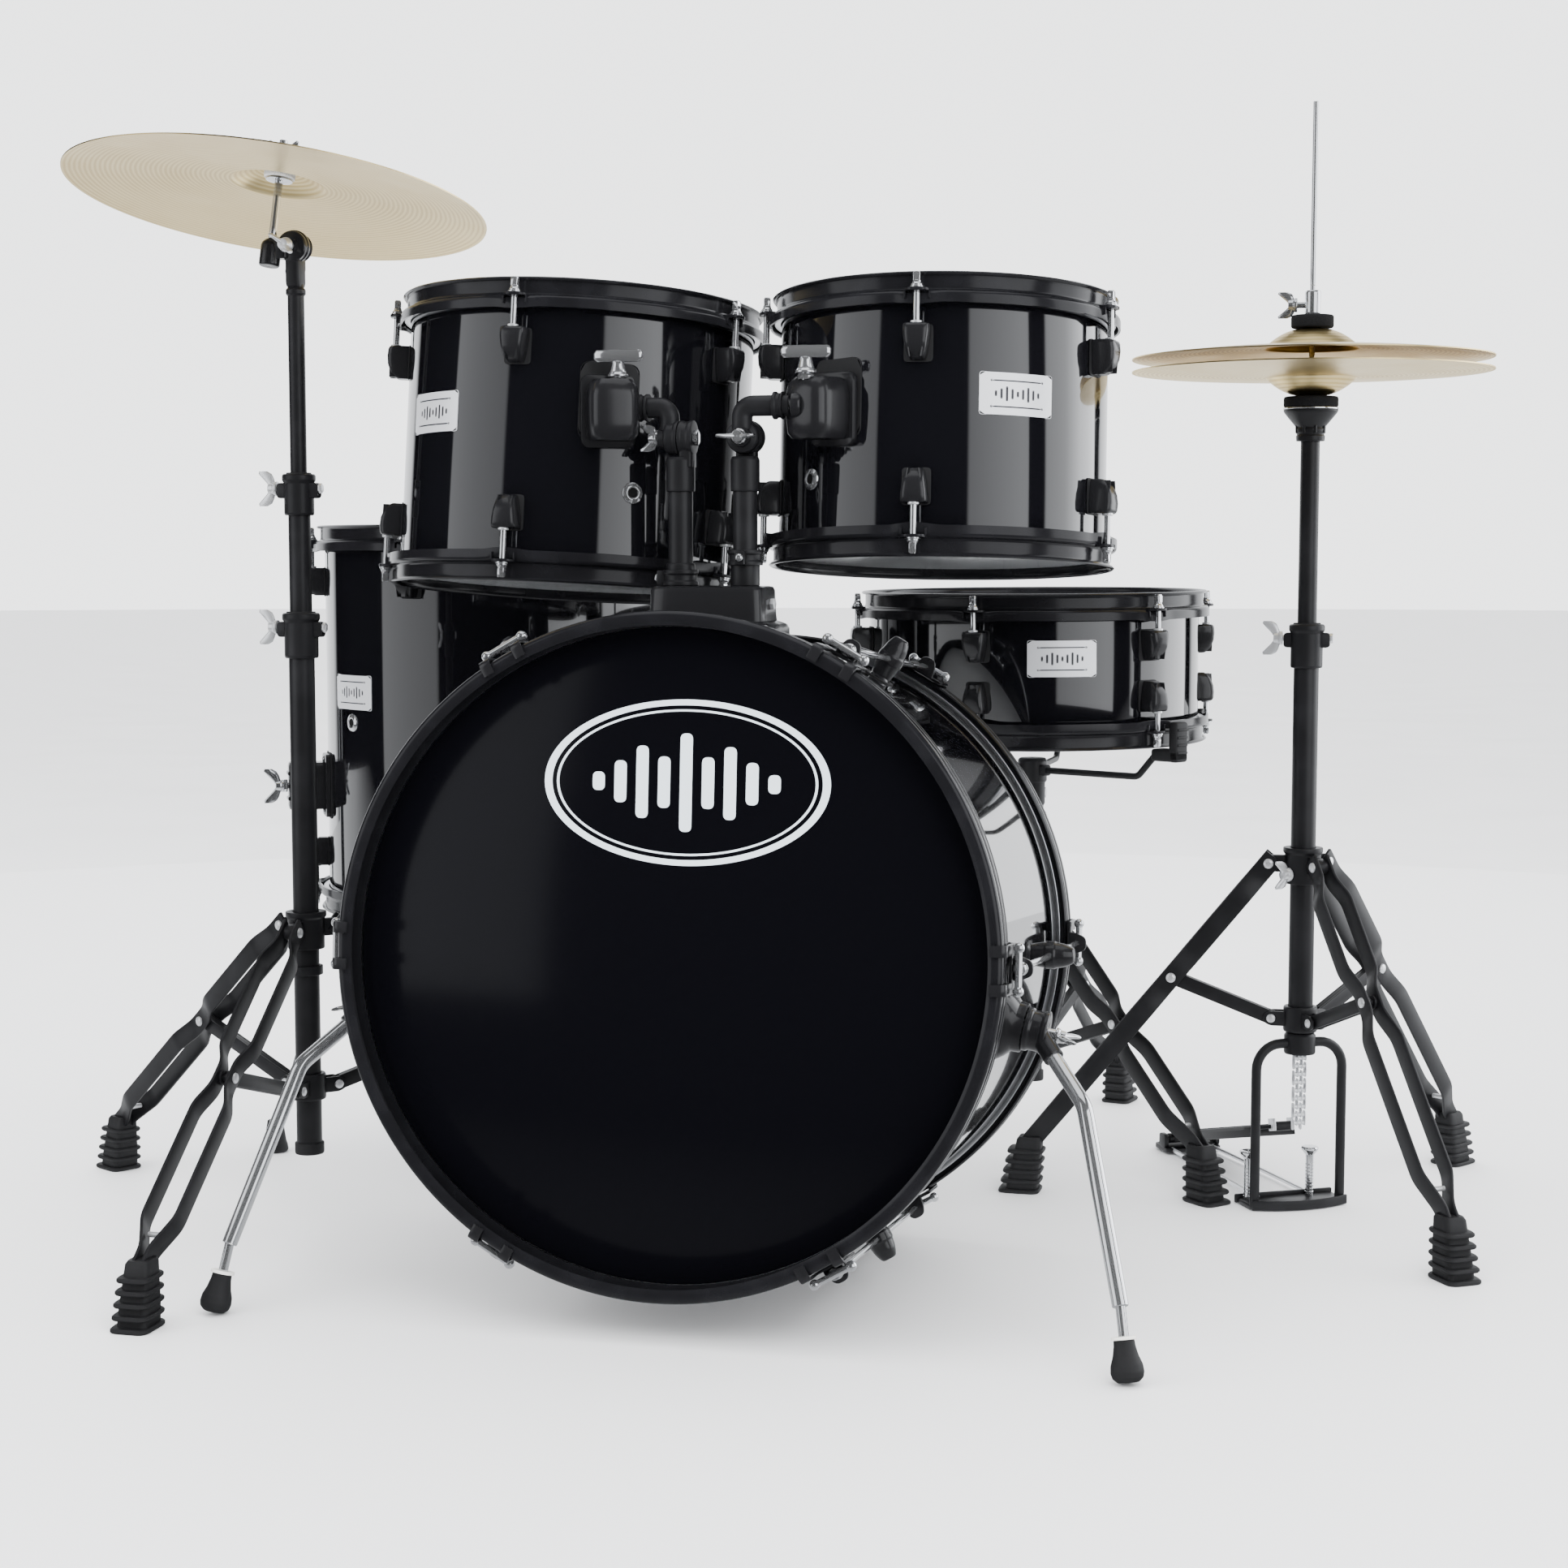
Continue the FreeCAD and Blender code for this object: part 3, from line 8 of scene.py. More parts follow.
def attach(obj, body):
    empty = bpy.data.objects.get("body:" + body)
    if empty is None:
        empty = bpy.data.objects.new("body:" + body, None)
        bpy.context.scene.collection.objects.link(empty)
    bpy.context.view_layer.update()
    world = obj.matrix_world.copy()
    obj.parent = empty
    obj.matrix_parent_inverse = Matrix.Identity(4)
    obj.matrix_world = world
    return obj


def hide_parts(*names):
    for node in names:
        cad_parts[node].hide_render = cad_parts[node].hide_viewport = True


# Lengths are in millimetres about the floor point under the bass drum's front head. LAYOUT_SHIFT carries that
# point to its place in the row frame, and piece() turns millimetres into the frame's metres.
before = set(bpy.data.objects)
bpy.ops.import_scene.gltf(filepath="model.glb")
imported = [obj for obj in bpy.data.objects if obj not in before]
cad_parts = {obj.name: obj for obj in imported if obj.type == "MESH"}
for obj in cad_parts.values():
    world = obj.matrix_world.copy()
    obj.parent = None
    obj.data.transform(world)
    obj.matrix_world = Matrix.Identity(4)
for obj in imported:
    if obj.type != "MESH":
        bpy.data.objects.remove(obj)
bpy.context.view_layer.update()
LAYOUT_SHIFT = Vector((49, -497, 0))
UP, X_AXIS, Y_AXIS = Vector((0, 0, 1)), Vector((1, 0, 0)), Vector((0, 1, 0))
SAME, OVER = Matrix.Identity(4), Matrix.Rotation(math.pi, 4, "X")
MIRROR_Y, MIRROR_Z = Matrix.Scale(-1, 4, (0, 1, 0)), Matrix.Scale(-1, 4, (0, 0, 1))
METRES = 0.001


# ---- materials --------------------
class Nodes:
    """A Principled material with short calls for the nodes this scene uses."""

    def __init__(self, name, colour, rough, metal=0.0, **inputs):
        self.material = bpy.data.materials.new(name)
        self.material.use_nodes = True
        self.tree = self.material.node_tree
        self.shader = self.tree.nodes["Principled BSDF"]
        self.set("Base Color", (*colour, 1.0))
        self.set("Roughness", rough)
        self.set("Metallic", metal)
        for key, value in inputs.items():
            self.set(key.replace("_", " "), value)

    def set(self, key, value):
        self.shader.inputs[key].default_value = value

    def add(self, kind, **values):
        node = self.tree.nodes.new(kind)
        for key, value in values.items():
            if hasattr(node, key):
                setattr(node, key, value)
            else:
                node.inputs[key.replace("_", " ")].default_value = value
        return node

    def link(self, source, target):
        self.tree.links.new(source, target)

    def coords(self, scale=(1, 1, 1)):
        place = self.add("ShaderNodeTexCoord")
        mapping = self.add("ShaderNodeMapping")
        mapping.inputs["Scale"].default_value = scale
        self.link(place.outputs["Object"], mapping.inputs["Vector"])
        return mapping.outputs["Vector"]

    def noise(self, scale, detail=4.0, stretch=(1, 1, 1)):
        node = self.add("ShaderNodeTexNoise", Scale=scale, Detail=detail)
        self.link(self.coords(stretch), node.inputs["Vector"])
        return node.outputs["Fac"]

    def spread(self, value, low, high, start=0.0, end=1.0):
        node = self.add("ShaderNodeMapRange")
        for key, number in (("From Min", start), ("From Max", end), ("To Min", low), ("To Max", high)):
            node.inputs[key].default_value = number
        self.link(value, node.inputs["Value"])
        return node.outputs["Result"]

    def blend(self, first, second, share):
        """Weighs the second value into the first by share."""
        lower = self.add("ShaderNodeMath", operation="MULTIPLY")
        lower.inputs[1].default_value = 1.0 - share
        self.link(first, lower.inputs[0])
        both = self.add("ShaderNodeMath", operation="MULTIPLY_ADD")
        both.inputs[1].default_value = share
        self.link(second, both.inputs[0])
        self.link(lower.outputs[0], both.inputs[2])
        return both.outputs[0]

    def bump(self, height, strength, distance):
        node = self.add("ShaderNodeBump", Strength=strength, Distance=distance)
        self.link(height, node.inputs["Height"])
        last = self.shader.inputs["Normal"]
        if last.is_linked:
            self.link(last.links[0].from_socket, node.inputs["Normal"])
        self.link(node.outputs["Normal"], last)

    def rough(self, value, low, high):
        self.link(self.spread(value, low, high), self.shader.inputs["Roughness"])

    def tint(self, value, stops):
        ramp = self.add("ShaderNodeValToRGB")
        marks = ramp.color_ramp.elements
        while len(marks) < len(stops):
            marks.new(0.5)
        for mark, (position, colour) in zip(marks, stops):
            mark.position = position
            mark.color = (*colour, 1.0)
        self.link(value, ramp.inputs["Fac"])
        self.link(ramp.outputs["Color"], self.shader.inputs["Base Color"])

    def rings(self, pitch, distortion=0.0):
        """A wave that runs outward from the object's Z axis, pitch in metres."""
        node = self.add("ShaderNodeTexWave", wave_type="RINGS", rings_direction="Z",
                Scale=math.tau / 20 / pitch, Distortion=distortion)
        place = self.add("ShaderNodeTexCoord")
        self.link(place.outputs["Object"], node.inputs["Vector"])
        return node.outputs["Fac"]


def make_lacquer():
    m = Nodes("black_lacquer", (0.003, 0.003, 0.004), 0.06, Coat_Weight=1.0, Coat_Roughness=0.02)
    m.rough(m.noise(9.0, 6.0), 0.035, 0.10)
    m.bump(m.noise(160.0, 2.0), 0.02, 0.0002)
    m.bump(m.noise(11.0, 1.0), 0.03, 0.0015)
    return m.material


def make_powder(name="black_powder_coat", colour=(0.007, 0.007, 0.008), low=0.33, high=0.42):
    m = Nodes(name, colour, 0.4, Specular_IOR_Level=0.28)
    m.rough(m.noise(26.0, 3.0), low, high)
    m.bump(m.noise(1400.0, 2.0), 0.05, 0.0001)
    m.tint(m.noise(30.0, 6.0), [(0.45, colour), (0.8, tuple(1.6 * c for c in colour))])
    return m.material


def make_casting():
    m = Nodes("black_casting", (0.008, 0.008, 0.009), 0.25, Coat_Weight=0.25, Coat_Roughness=0.10,
            Specular_IOR_Level=0.35)
    m.rough(m.noise(40.0, 3.0), 0.20, 0.29)
    m.bump(m.noise(500.0, 2.0), 0.03, 0.0001)
    return m.material


def make_chrome(name="chrome", low=0.04, high=0.14, metal=0.94):
    m = Nodes(name, (0.80, 0.81, 0.83), 0.08, metal)
    m.rough(m.noise(45.0, 6.0), low, high)
    m.bump(m.noise(700.0, 2.0), 0.015, 0.0001)
    return m.material


def make_brass(name, base, dark, pitch=0.0016, depth=0.00012):
    """Turned brass: fine and coarse grooves of the given pitch and depth in metres."""
    m = Nodes(name, base, 0.3, 1.0, Anisotropic=0.5)
    tangent = m.add("ShaderNodeTangent", direction_type="RADIAL", axis="Z")
    m.link(tangent.outputs["Tangent"], m.shader.inputs["Tangent"])
    m.bump(m.rings(pitch, 0.4), 0.35, depth)
    m.bump(m.rings(pitch * 6.5, 1.2), 0.25, depth * 1.5)
    m.bump(m.noise(420.0, 3.0), 0.05, 0.0002)
    m.rough(m.noise(24.0, 5.0), 0.24, 0.40)
    m.tint(m.blend(m.noise(7.0, 5.0), m.rings(pitch * 2.9, 0.6), 0.45), [(0.28, dark), (0.66, base)])
    return m.material


def make_film(name, colour, alpha, rough=0.3, gloss=0.5):
    m = Nodes(name, colour, rough, Alpha=alpha, Coat_Weight=0.8 * gloss, Coat_Roughness=0.12,
            Specular_IOR_Level=gloss)
    m.rough(m.noise(70.0, 5.0), rough * 0.8, rough * 1.25)
    m.bump(m.noise(900.0, 2.0), 0.06, 0.0002)
    return m.material


def make_wood():
    m = Nodes("shell_plies", (0.50, 0.33, 0.19), 0.55)
    grain = m.noise(26.0, 6.0, (1.0, 1.0, 0.12))
    m.tint(grain, [(0.25, (0.16, 0.11, 0.07)), (0.55, (0.24, 0.18, 0.12)), (0.8, (0.32, 0.25, 0.18))])
    m.rough(grain, 0.45, 0.65)
    m.bump(grain, 0.12, 0.0005)
    return m.material


def make_rubber():
    m = Nodes("rubber", (0.010, 0.010, 0.011), 0.55, Specular_IOR_Level=0.3)
    m.rough(m.noise(120.0, 6.0), 0.48, 0.72)
    m.bump(m.noise(900.0, 4.0), 0.16, 0.0004)
    return m.material


def make_felt(name, colour):
    m = Nodes(name, colour, 0.95, Sheen_Weight=0.4 * colour[0], Sheen_Roughness=0.5, Specular_IOR_Level=0.2)
    fluff = m.noise(900.0, 6.0)
    m.tint(fluff, [(0.3, tuple(0.6 * c for c in colour)), (0.7, colour)])
    m.bump(fluff, 0.6, 0.0008)
    return m.material


def make_plain(name, colour, rough, metal=0.0, grain=300.0):
    m = Nodes(name, colour, rough, metal)
    m.rough(m.noise(grain * 0.2, 5.0), rough * 0.8, min(1.0, rough * 1.3))
    m.bump(m.noise(grain, 3.0), 0.05, 0.0003)
    return m.material


LACQUER = make_lacquer()
POWDER = make_powder()
HOOP_BLACK = make_powder("hoop_black", (0.006, 0.006, 0.007), 0.13, 0.20)
CASTING = make_casting()
CHROME = make_chrome()
STEEL = make_chrome("bright_screw", 0.24, 0.38, 0.78)
CRASH_BRASS = make_brass("crash_brass", (0.90, 0.74, 0.40), (0.70, 0.53, 0.24))
HAT_BRASS = make_brass("hat_brass", (0.90, 0.72, 0.36), (0.68, 0.50, 0.20))
CLEAR_FILM = make_film("clear_film", (0.30, 0.31, 0.32), 0.80, 0.22)
COATED_FILM = make_film("coated_film", (0.74, 0.75, 0.76), 0.90, 0.42)
BLACK_FILM = make_film("black_film", (0.002, 0.002, 0.003), 1.0, 0.16, 0.12)
WOOD = make_wood()
RUBBER = make_rubber()
WHITE_FELT = make_felt("white_felt", (0.72, 0.71, 0.68))
BLACK_FELT = make_felt("black_felt", (0.008, 0.008, 0.009))
ALUMINIUM = make_plain("flesh_ring", (0.72, 0.73, 0.75), 0.3, 1.0)
BADGE = make_plain("badge_silver", (0.72, 0.73, 0.76), 0.30, 0.5, 120.0)
BADGE_INK = make_plain("badge_ink", (0.02, 0.02, 0.025), 0.4)
EMBLEM = make_plain("emblem_print", (0.64, 0.71, 0.76), 0.35)
NYLON = make_plain("white_nylon", (0.75, 0.74, 0.70), 0.45)
# painted shade: a near-black material for discs that stand in for the shade inside holes
HOLE_SHADE = make_plain("painted_hole_shade", (0.003, 0.003, 0.003), 0.9)


SLOTS = {LACQUER: "black_lacquer", POWDER: "black_hardware", CASTING: "black_hardware", CHROME: "chrome",
        HOOP_BLACK: "black_hoop", CRASH_BRASS: "cymbal_brass", HAT_BRASS: "cymbal_brass"}


# ---- mesh building --------------------
class Shape:
    """A list of vertices and faces that grows piece by piece."""

    def __init__(self):
        self.points, self.faces = [], []

    def add(self, points, faces, matrix=SAME):
        start = len(self.points)
        flip = matrix.determinant() < 0
        self.points += [matrix @ Vector(p) for p in points]
        for face in faces:
            face = [start + i for i in face]
            self.faces.append(face[::-1] if flip else face)
        return self

    def join(self, other, matrix=SAME):
        return self.add(other.points, other.faces, matrix)


def placed(shape, where=SAME):
    """A copy of a shape, carried by a matrix."""
    return Shape().join(shape, where)


def at(point, axis=UP, heading=None):
    """The matrix that carries the Z axis to axis, the X axis towards heading and the origin to point."""
    z = Vector(axis).normalized()
    x = Vector(heading) if heading is not None else (X_AXIS if abs(z.x) < 0.9 else Y_AXIS)
    x = (x - z * x.dot(z)).normalized()
    y = z.cross(x)
    turn = Matrix((x, y, z)).transposed().to_4x4()
    return Matrix.Translation(Vector(point)) @ turn


def turn_z(degrees):
    return Matrix.Rotation(math.radians(degrees), 4, "Z")


def polar(radius, degrees, z=0.0):
    a = math.radians(degrees)
    return Vector((radius * math.cos(a), radius * math.sin(a), z))


def soften(points, radius, steps=3, closed=True):
    """Rounds the corners of an outline."""
    out, count = [], len(points)
    for i, p in enumerate(points):
        p = Vector(p)
        if not closed and i in (0, count - 1):
            out.append(p)
            continue
        a, b = Vector(points[i - 1]), Vector(points[(i + 1) % count])
        reach = min(radius, 0.45 * (a - p).length, 0.45 * (b - p).length)
        if reach < 1e-4:
            out.append(p)
            continue
        start, end = p + (a - p).normalized() * reach, p + (b - p).normalized() * reach
        for k in range(steps + 1):
            t = k / steps
            out.append(start * (1 - t) ** 2 + p * 2 * t * (1 - t) + end * t * t)
    return out


def tile(x, y, corner, steps):
    """The outline of a plate of half-sizes x and y with rounded corners."""
    return soften([(-x, -y), (x, -y), (x, y), (-x, y)], corner, steps)


def ribbon(points, thickness):
    """The closed outline of a band of even thickness along an open line."""
    left, right = [], []
    for i, p in enumerate(points):
        p = Vector(p)
        sides = []
        for a, b in ((Vector(points[max(i - 1, 0)]), p), (p, Vector(points[min(i + 1, len(points) - 1)]))):
            if (b - a).length > 0:
                d = (b - a).normalized()
                sides.append(Vector((-d.y, d.x)))
        n = sum(sides, Vector((0, 0))) / len(sides)
        n = n / n.length_squared * thickness / 2
        left.append(p + n)
        right.append(p - n)
    return left + right[::-1]


def circle(count):
    return [(math.cos(math.tau * k / count), math.sin(math.tau * k / count)) for k in range(count)]


def ring_skin(points, count):
    """A closed skin over points that come in count equal groups around a ring."""
    n = len(points) // count
    faces = []
    for k in range(count):
        j = (k + 1) % count
        for i in range(n):
            h = (i + 1) % n
            faces.append([k * n + i, j * n + i, j * n + h, k * n + h])
    return Shape().add(points, faces)


def lathe(profile, count=96, radius=0.0):
    """A closed outline of (radius, height) points turned about Z."""
    profile = soften(profile, radius) if radius else [Vector(p) for p in profile]
    area = sum(a.x * b.y - b.x * a.y for a, b in zip(profile, profile[1:] + profile[:1]))
    if area < 0:
        profile = profile[::-1]
    return ring_skin([(p.x * c, p.x * s, p.y) for c, s in circle(count) for p in profile], count)


def rod(radius, height, edge=0.6, count=24, bore=0.0):
    """An upright cylinder or ring with softened edges."""
    return lathe([(bore, 0), (radius, 0), (radius, height), (bore, height)], count, edge)


def rbox(x, y, z, edge=1.0, steps=2):
    """A box about its middle with rounded edges."""
    mesh = bmesh.new()
    bmesh.ops.create_cube(mesh, size=1.0)
    bmesh.ops.scale(mesh, vec=(x, y, z), verts=mesh.verts)
    edge = min(edge, 0.45 * min(x, y, z))
    bmesh.ops.bevel(mesh, geom=mesh.edges[:], offset=edge, segments=steps, affect="EDGES", profile=0.5)
    return from_bmesh(mesh)


def from_bmesh(mesh):
    mesh.verts.index_update()
    shape = Shape().add([v.co.copy() for v in mesh.verts], [[v.index for v in f.verts] for f in mesh.faces])
    mesh.free()
    return shape


def prism(outline, height, edge=0.6, steps=2):
    """A plate cut to an outline in XY, from z 0 up, with softened edges."""
    mesh = bmesh.new()
    base = [mesh.verts.new((p[0], p[1], 0)) for p in outline]
    face = mesh.faces.new(base)
    bmesh.ops.recalc_face_normals(mesh, faces=[face])
    grown = bmesh.ops.extrude_face_region(mesh, geom=[face])
    top = [v for v in grown["geom"] if isinstance(v, bmesh.types.BMVert)]
    bmesh.ops.translate(mesh, vec=(0, 0, height), verts=top)
    bmesh.ops.recalc_face_normals(mesh, faces=mesh.faces[:])
    if edge:
        rims = [e for e in mesh.edges if abs(e.verts[0].co.z - e.verts[1].co.z) < 1e-6]
        bmesh.ops.bevel(mesh, geom=rims, offset=edge, segments=steps, affect="EDGES", profile=0.5)
    return from_bmesh(mesh)


def loft(rings, capped=True):
    """A skin over rings of points that all have the same count."""
    n = len(rings[0])
    points = [p for ring in rings for p in ring]
    faces = []
    for k in range(len(rings) - 1):
        for i in range(n):
            h = (i + 1) % n
            faces.append([k * n + i, k * n + h, (k + 1) * n + h, (k + 1) * n + i])
    if capped:
        faces.append(list(range(n))[::-1])
        faces.append([(len(rings) - 1) * n + i for i in range(n)])
    return Shape().add(points, faces)


def oval(x, y, z, power=3.0, count=28, cx=0.0, cy=0.0):
    """A squarish ring of half-sizes x and y at height z."""
    ring = []
    for c, s in circle(count):
        ring.append(Vector((cx + x * math.copysign(abs(c) ** (2 / power), c),
                cy + y * math.copysign(abs(s) ** (2 / power), s), z)))
    return ring


def ovals(power, count, *sizes):
    """A skin over ovals that are given as half-sizes and height."""
    return loft([oval(x, y, z, power, count) for x, y, z in sizes])


def path_of(points, bend, steps=8):
    """Straight runs joined by arcs, as a list of points."""
    points = [Vector(p) for p in points]
    path = [points[0]]
    for a, p, b in zip(points, points[1:], points[2:]):
        back, on = (a - p).normalized(), (b - p).normalized()
        half = back.angle(on) / 2
        reach = min(bend / math.tan(half), 0.48 * (a - p).length, 0.48 * (b - p).length)
        r = reach * math.tan(half)
        middle = p + (back + on).normalized() * (r / math.sin(half))
        start, end = p + back * reach, p + on * reach
        u, v = start - middle, end - middle
        full = u.angle(v)
        for k in range(steps + 1):
            t = k / steps
            w = (u * math.sin((1 - t) * full) + v * math.sin(t * full)) / math.sin(full)
            path.append(middle + w)
    path.append(points[-1])
    return path


def tube(points, radius, bend=20.0, count=20):
    """A round rod along a bent line, with softened ends."""
    path = path_of(points, bend)
    edge = min(0.8, radius * 0.3)
    first, last = (path[1] - path[0]).normalized(), (path[-1] - path[-2]).normalized()
    path = [path[0], path[0] + first * edge] + path[1:-1] + [path[-1] - last * edge, path[-1]]
    normal, rings = None, []
    end = len(path) - 1
    for i, p in enumerate(path):
        along = (path[min(i + 1, end)] - path[max(i - 1, 0)]).normalized()
        if normal is None:
            normal = along.orthogonal().normalized()
        normal = (normal - along * normal.dot(along)).normalized()
        side = along.cross(normal)
        r = radius - edge if i in (0, end) else radius
        rings.append([p + (normal * c + side * s) * r for c, s in circle(count)])
    return loft(rings)


def piece(name, shapes, body, material, where=SAME, replaces=None, slot=None, angle=40):
    """Makes one object from shapes in millimetres, hides the CAD nodes that it replaces and fixes it to a body.
    It looks up a material slot but does not keep it."""
    whole = Shape()
    for shape in [shapes] if isinstance(shapes, Shape) else shapes:
        whole.join(shape)
    data = bpy.data.meshes.new(name)
    data.from_pydata([p * METRES for p in whole.points], [], whole.faces)
    mesh = bmesh.new()
    mesh.from_mesh(data)
    bmesh.ops.remove_doubles(mesh, verts=mesh.verts, dist=1e-6)
    bmesh.ops.dissolve_degenerate(mesh, edges=mesh.edges, dist=1e-7)
    bmesh.ops.recalc_face_normals(mesh, faces=mesh.faces)
    mesh.to_mesh(data)
    mesh.free()
    data.shade_smooth()
    data.set_sharp_from_angle(angle=math.radians(angle))
    data.materials.append(material)
    thing = bpy.data.objects.new(name, data)
    bpy.context.scene.collection.objects.link(thing)
    local = at(LAYOUT_SHIFT) @ (where or SAME)
    thing.matrix_world = at(local.translation * METRES) @ local.to_3x3().to_4x4()
    bpy.context.view_layer.update()
    if replaces:
        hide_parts(*replaces)
    if slot or replaces is not None:
        slot or SLOTS[material]
    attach(thing, body)


# ---- small hardware --------------------
def wing_nut(span=36.0, lift=0.35):
    """Hub and two raised, rounded wings; Z points out of the nut, the wings lie along X."""
    shape = lathe([(0, 0), (7, 0), (7, 2.5), (5.6, 4), (5.2, 9), (0, 9)], 24, 0.6)
    for side in (0, 180):
        half = span / 2
        rings = []
        for t, rise, tall, thick in ((0.08, 4.2, 4.0, 3.0), (0.35, 6.0, 4.6, 2.4), (0.62, 8.0, 6.2, 2.0),
                (0.85, 10.0, 7.0, 1.9), (1.0, 11.5, 4.4, 1.3)):
            z = rise + lift * half * t * 0.7
            rings.append([Vector((half * t, p.x, z + p.y)) for p in oval(thick, tall, 0, 2.2, 16)])
        shape.join(loft(rings), turn_z(side))
    return shape


def screw_head(radius=4.0, tall=2.4):
    """A pan head."""
    return lathe([(0, 0), (radius, 0), (radius, tall * 0.45), (radius * 0.55, tall), (0, tall)], 24, 0.6)


def hex_nut(radius=6.0, tall=4.5):
    return prism([polar(radius, 60 * k) for k in range(6)], tall, 0.5)


def square_head(half=3.1, tall=8.0):
    """The square-drive head of a tension rod with its domed top."""
    return loft([oval(half, half, 0, 9, 24), oval(half, half, tall * 0.82, 9, 24), oval(half * 0.8, half * 0.8,
            tall, 4, 24)])


# ---- drums --------------------
Drum = namedtuple("Drum", "radius depth centre lean lug_angles lug_drop vent badge bracket")
TOM_12 = Drum(152.4, 228.6, Vector((178, 335, 779)), (-0.003, 0.075), [56.2 + 72 * k for k in range(5)], 36.0,
        (230, -52), (306.0, 20), 242)
TOM_13 = Drum(165.1, 254.0, Vector((-181, 333, 768)), (0.030, 0.080), [52.2 + 72 * k for k in range(5)], 36.0,
        (307, -52), (234, 18), -62)
FLOOR_TOM = Drum(203.2, 406.4, Vector((-390, 700, 486)), (0.0, 0.0), [20.2 + 60 * k for k in range(6)], 36.0,
        (234, 0), (234, 33), None)
SNARE = Drum(177.8, 139.7, Vector((204, 732, 549)), (-0.004, -0.008), [20.2 + 60 * k for k in range(6)], 28.0,
        (230, 0), (288.3, 14), None)
SHELL_WALL = 6.0
LIP_RISE = 10.0
ROD_RING = 15.0
INK = 0.12    # thickness of a print


def drum_place(drum):
    return at(drum.centre, (drum.lean[0], drum.lean[1], 1), X_AXIS)


def curved_plate(radius, degrees, z, wide, tall, thick, corner=3.0, steps=14):
    """A plate with rounded corners, wrapped on a drum's shell."""
    outline = tile(wide / 2, tall / 2, corner, 4)
    middle = math.radians(degrees)
    rings = []
    for depth, shrink in ((0.0, 0.0), (thick * 0.6, 0.0), (thick, 0.4)):
        ring = []
        for p in outline:
            u = p.x * (1 - shrink * 2 / wide)
            v = p.y * (1 - shrink * 2 / tall)
            a = middle + u / radius
            ring.append(Vector(((radius + depth) * math.cos(a), (radius + depth) * math.sin(a), z + v)))
        rings.append(ring)
    side = loft(rings, False)
    # the wrapped face is filled in strips, so that it follows the shell
    columns = []
    for k in range(steps + 1):
        u = -wide / 2 + wide * k / steps
        reach = tall / 2
        inset = corner - (wide / 2 - abs(u))
        if inset > 0:
            reach -= corner - math.sqrt(max(0.0, corner ** 2 - inset ** 2))
        a = middle + u * (1 - 0.8 / wide) / radius
        r = radius + thick
        columns.append([(r * math.cos(a), r * math.sin(a), z + (reach - 0.4) * s) for s in (-1, 1)])
    points = [p for pair in columns for p in pair]
    faces = [[2 * k, 2 * k + 2, 2 * k + 3, 2 * k + 1] for k in range(steps)]
    return side.add(points, faces)


def shell_pieces(name, drum):
    r, e, w = drum.radius, drum.depth / 2, SHELL_WALL
    where = drum_place(drum)
    skin = lathe([(r - 1.6, 0.1 - e), (r - 0.4, 1.0 - e), (r, 3.0 - e), (r, e - 3.0), (r - 0.4, e - 1.0),
            (r - 1.6, e - 0.1), (r - 2.2, e - 1.5), (r - 2.2, 1.5 - e)], 144)
    piece(name + "_skin", skin, name, LACQUER, where, [name + "_shell"])
    ply = lathe([(r - 1.7, -e), (r - w, 4.4 - e), (r - w, e - 4.4), (r - 1.7, e), (r - 2.3, e - 1.6),
            (r - 2.3, 1.6 - e)], 120)
    piece(name + "_plies", ply, name, WOOD, where, slot="black_lacquer")
    angle, height = drum.vent
    spot = where @ at(polar(r - 0.2, angle, height), polar(1, angle), UP)
    piece(name + "_vent_ring", lathe([(4.6, -1), (10, -0.6), (9.4, 1.2), (6.0, 2.4), (4.6, 2.0)], 40, 0.4),
            name, CHROME, spot)
    # painted shade: a dark disc under the vent ring stands in for the shade inside the vent hole
    piece(name + "_vent_hole_painted_shade", rod(4.7, 1.2, 0.2), name, HOLE_SHADE, spot)


def badge_pieces(name, drum):
    where = drum_place(drum)
    angle, z = drum.badge
    r = drum.radius
    piece(name + "_badge", curved_plate(r + 0.05, angle, z, 72, 38, 0.8), name, BADGE, where)
    ink = [curved_plate(r + 0.86, angle, z + rule, 52, 2.0, INK, 0.9) for rule in (-11.5, 11.5)]
    degree = math.degrees(1 / r)
    for k, tall in enumerate((5, 9, 13, 9, 5, 9, 13, 9, 5)):
        ink.append(curved_plate(r + 0.86, angle + (k - 4) * 5.2 * degree, z, 2.2, tall, INK, 1.0, 4))
    piece(name + "_badge_lines", ink, name, BADGE_INK, where)


def head_pieces(name, drum):
    r, e = drum.radius, drum.depth / 2
    where = drum_place(drum)
    for side, label, film in ((1, "batter", COATED_FILM), (-1, "resonant", CLEAR_FILM)):
        flip = SAME if side > 0 else OVER
        skin = lathe([(0, e + 0.15), (0, e + 0.4), (r - 1.5, e + 0.4), (r + 1.3, e - 1.5), (r + 1.6, e - 8.5),
                (r + 1.2, e - 8.5), (r + 0.9, e - 1.5), (r - 1.5, e + 0.15)], 144)
        node = [name + "_heads"] if side > 0 else []
        piece("%s_%s_film" % (name, label), skin, name, film, where @ flip, node, "drum_film")
        ring = lathe([(r + 0.7, e - 14), (r + 7, e - 14), (r + 7, e - 8), (r + 0.7, e - 8)], 120, 1.2)
        piece("%s_%s_flesh_ring" % (name, label), ring, name, ALUMINIUM, where @ flip)


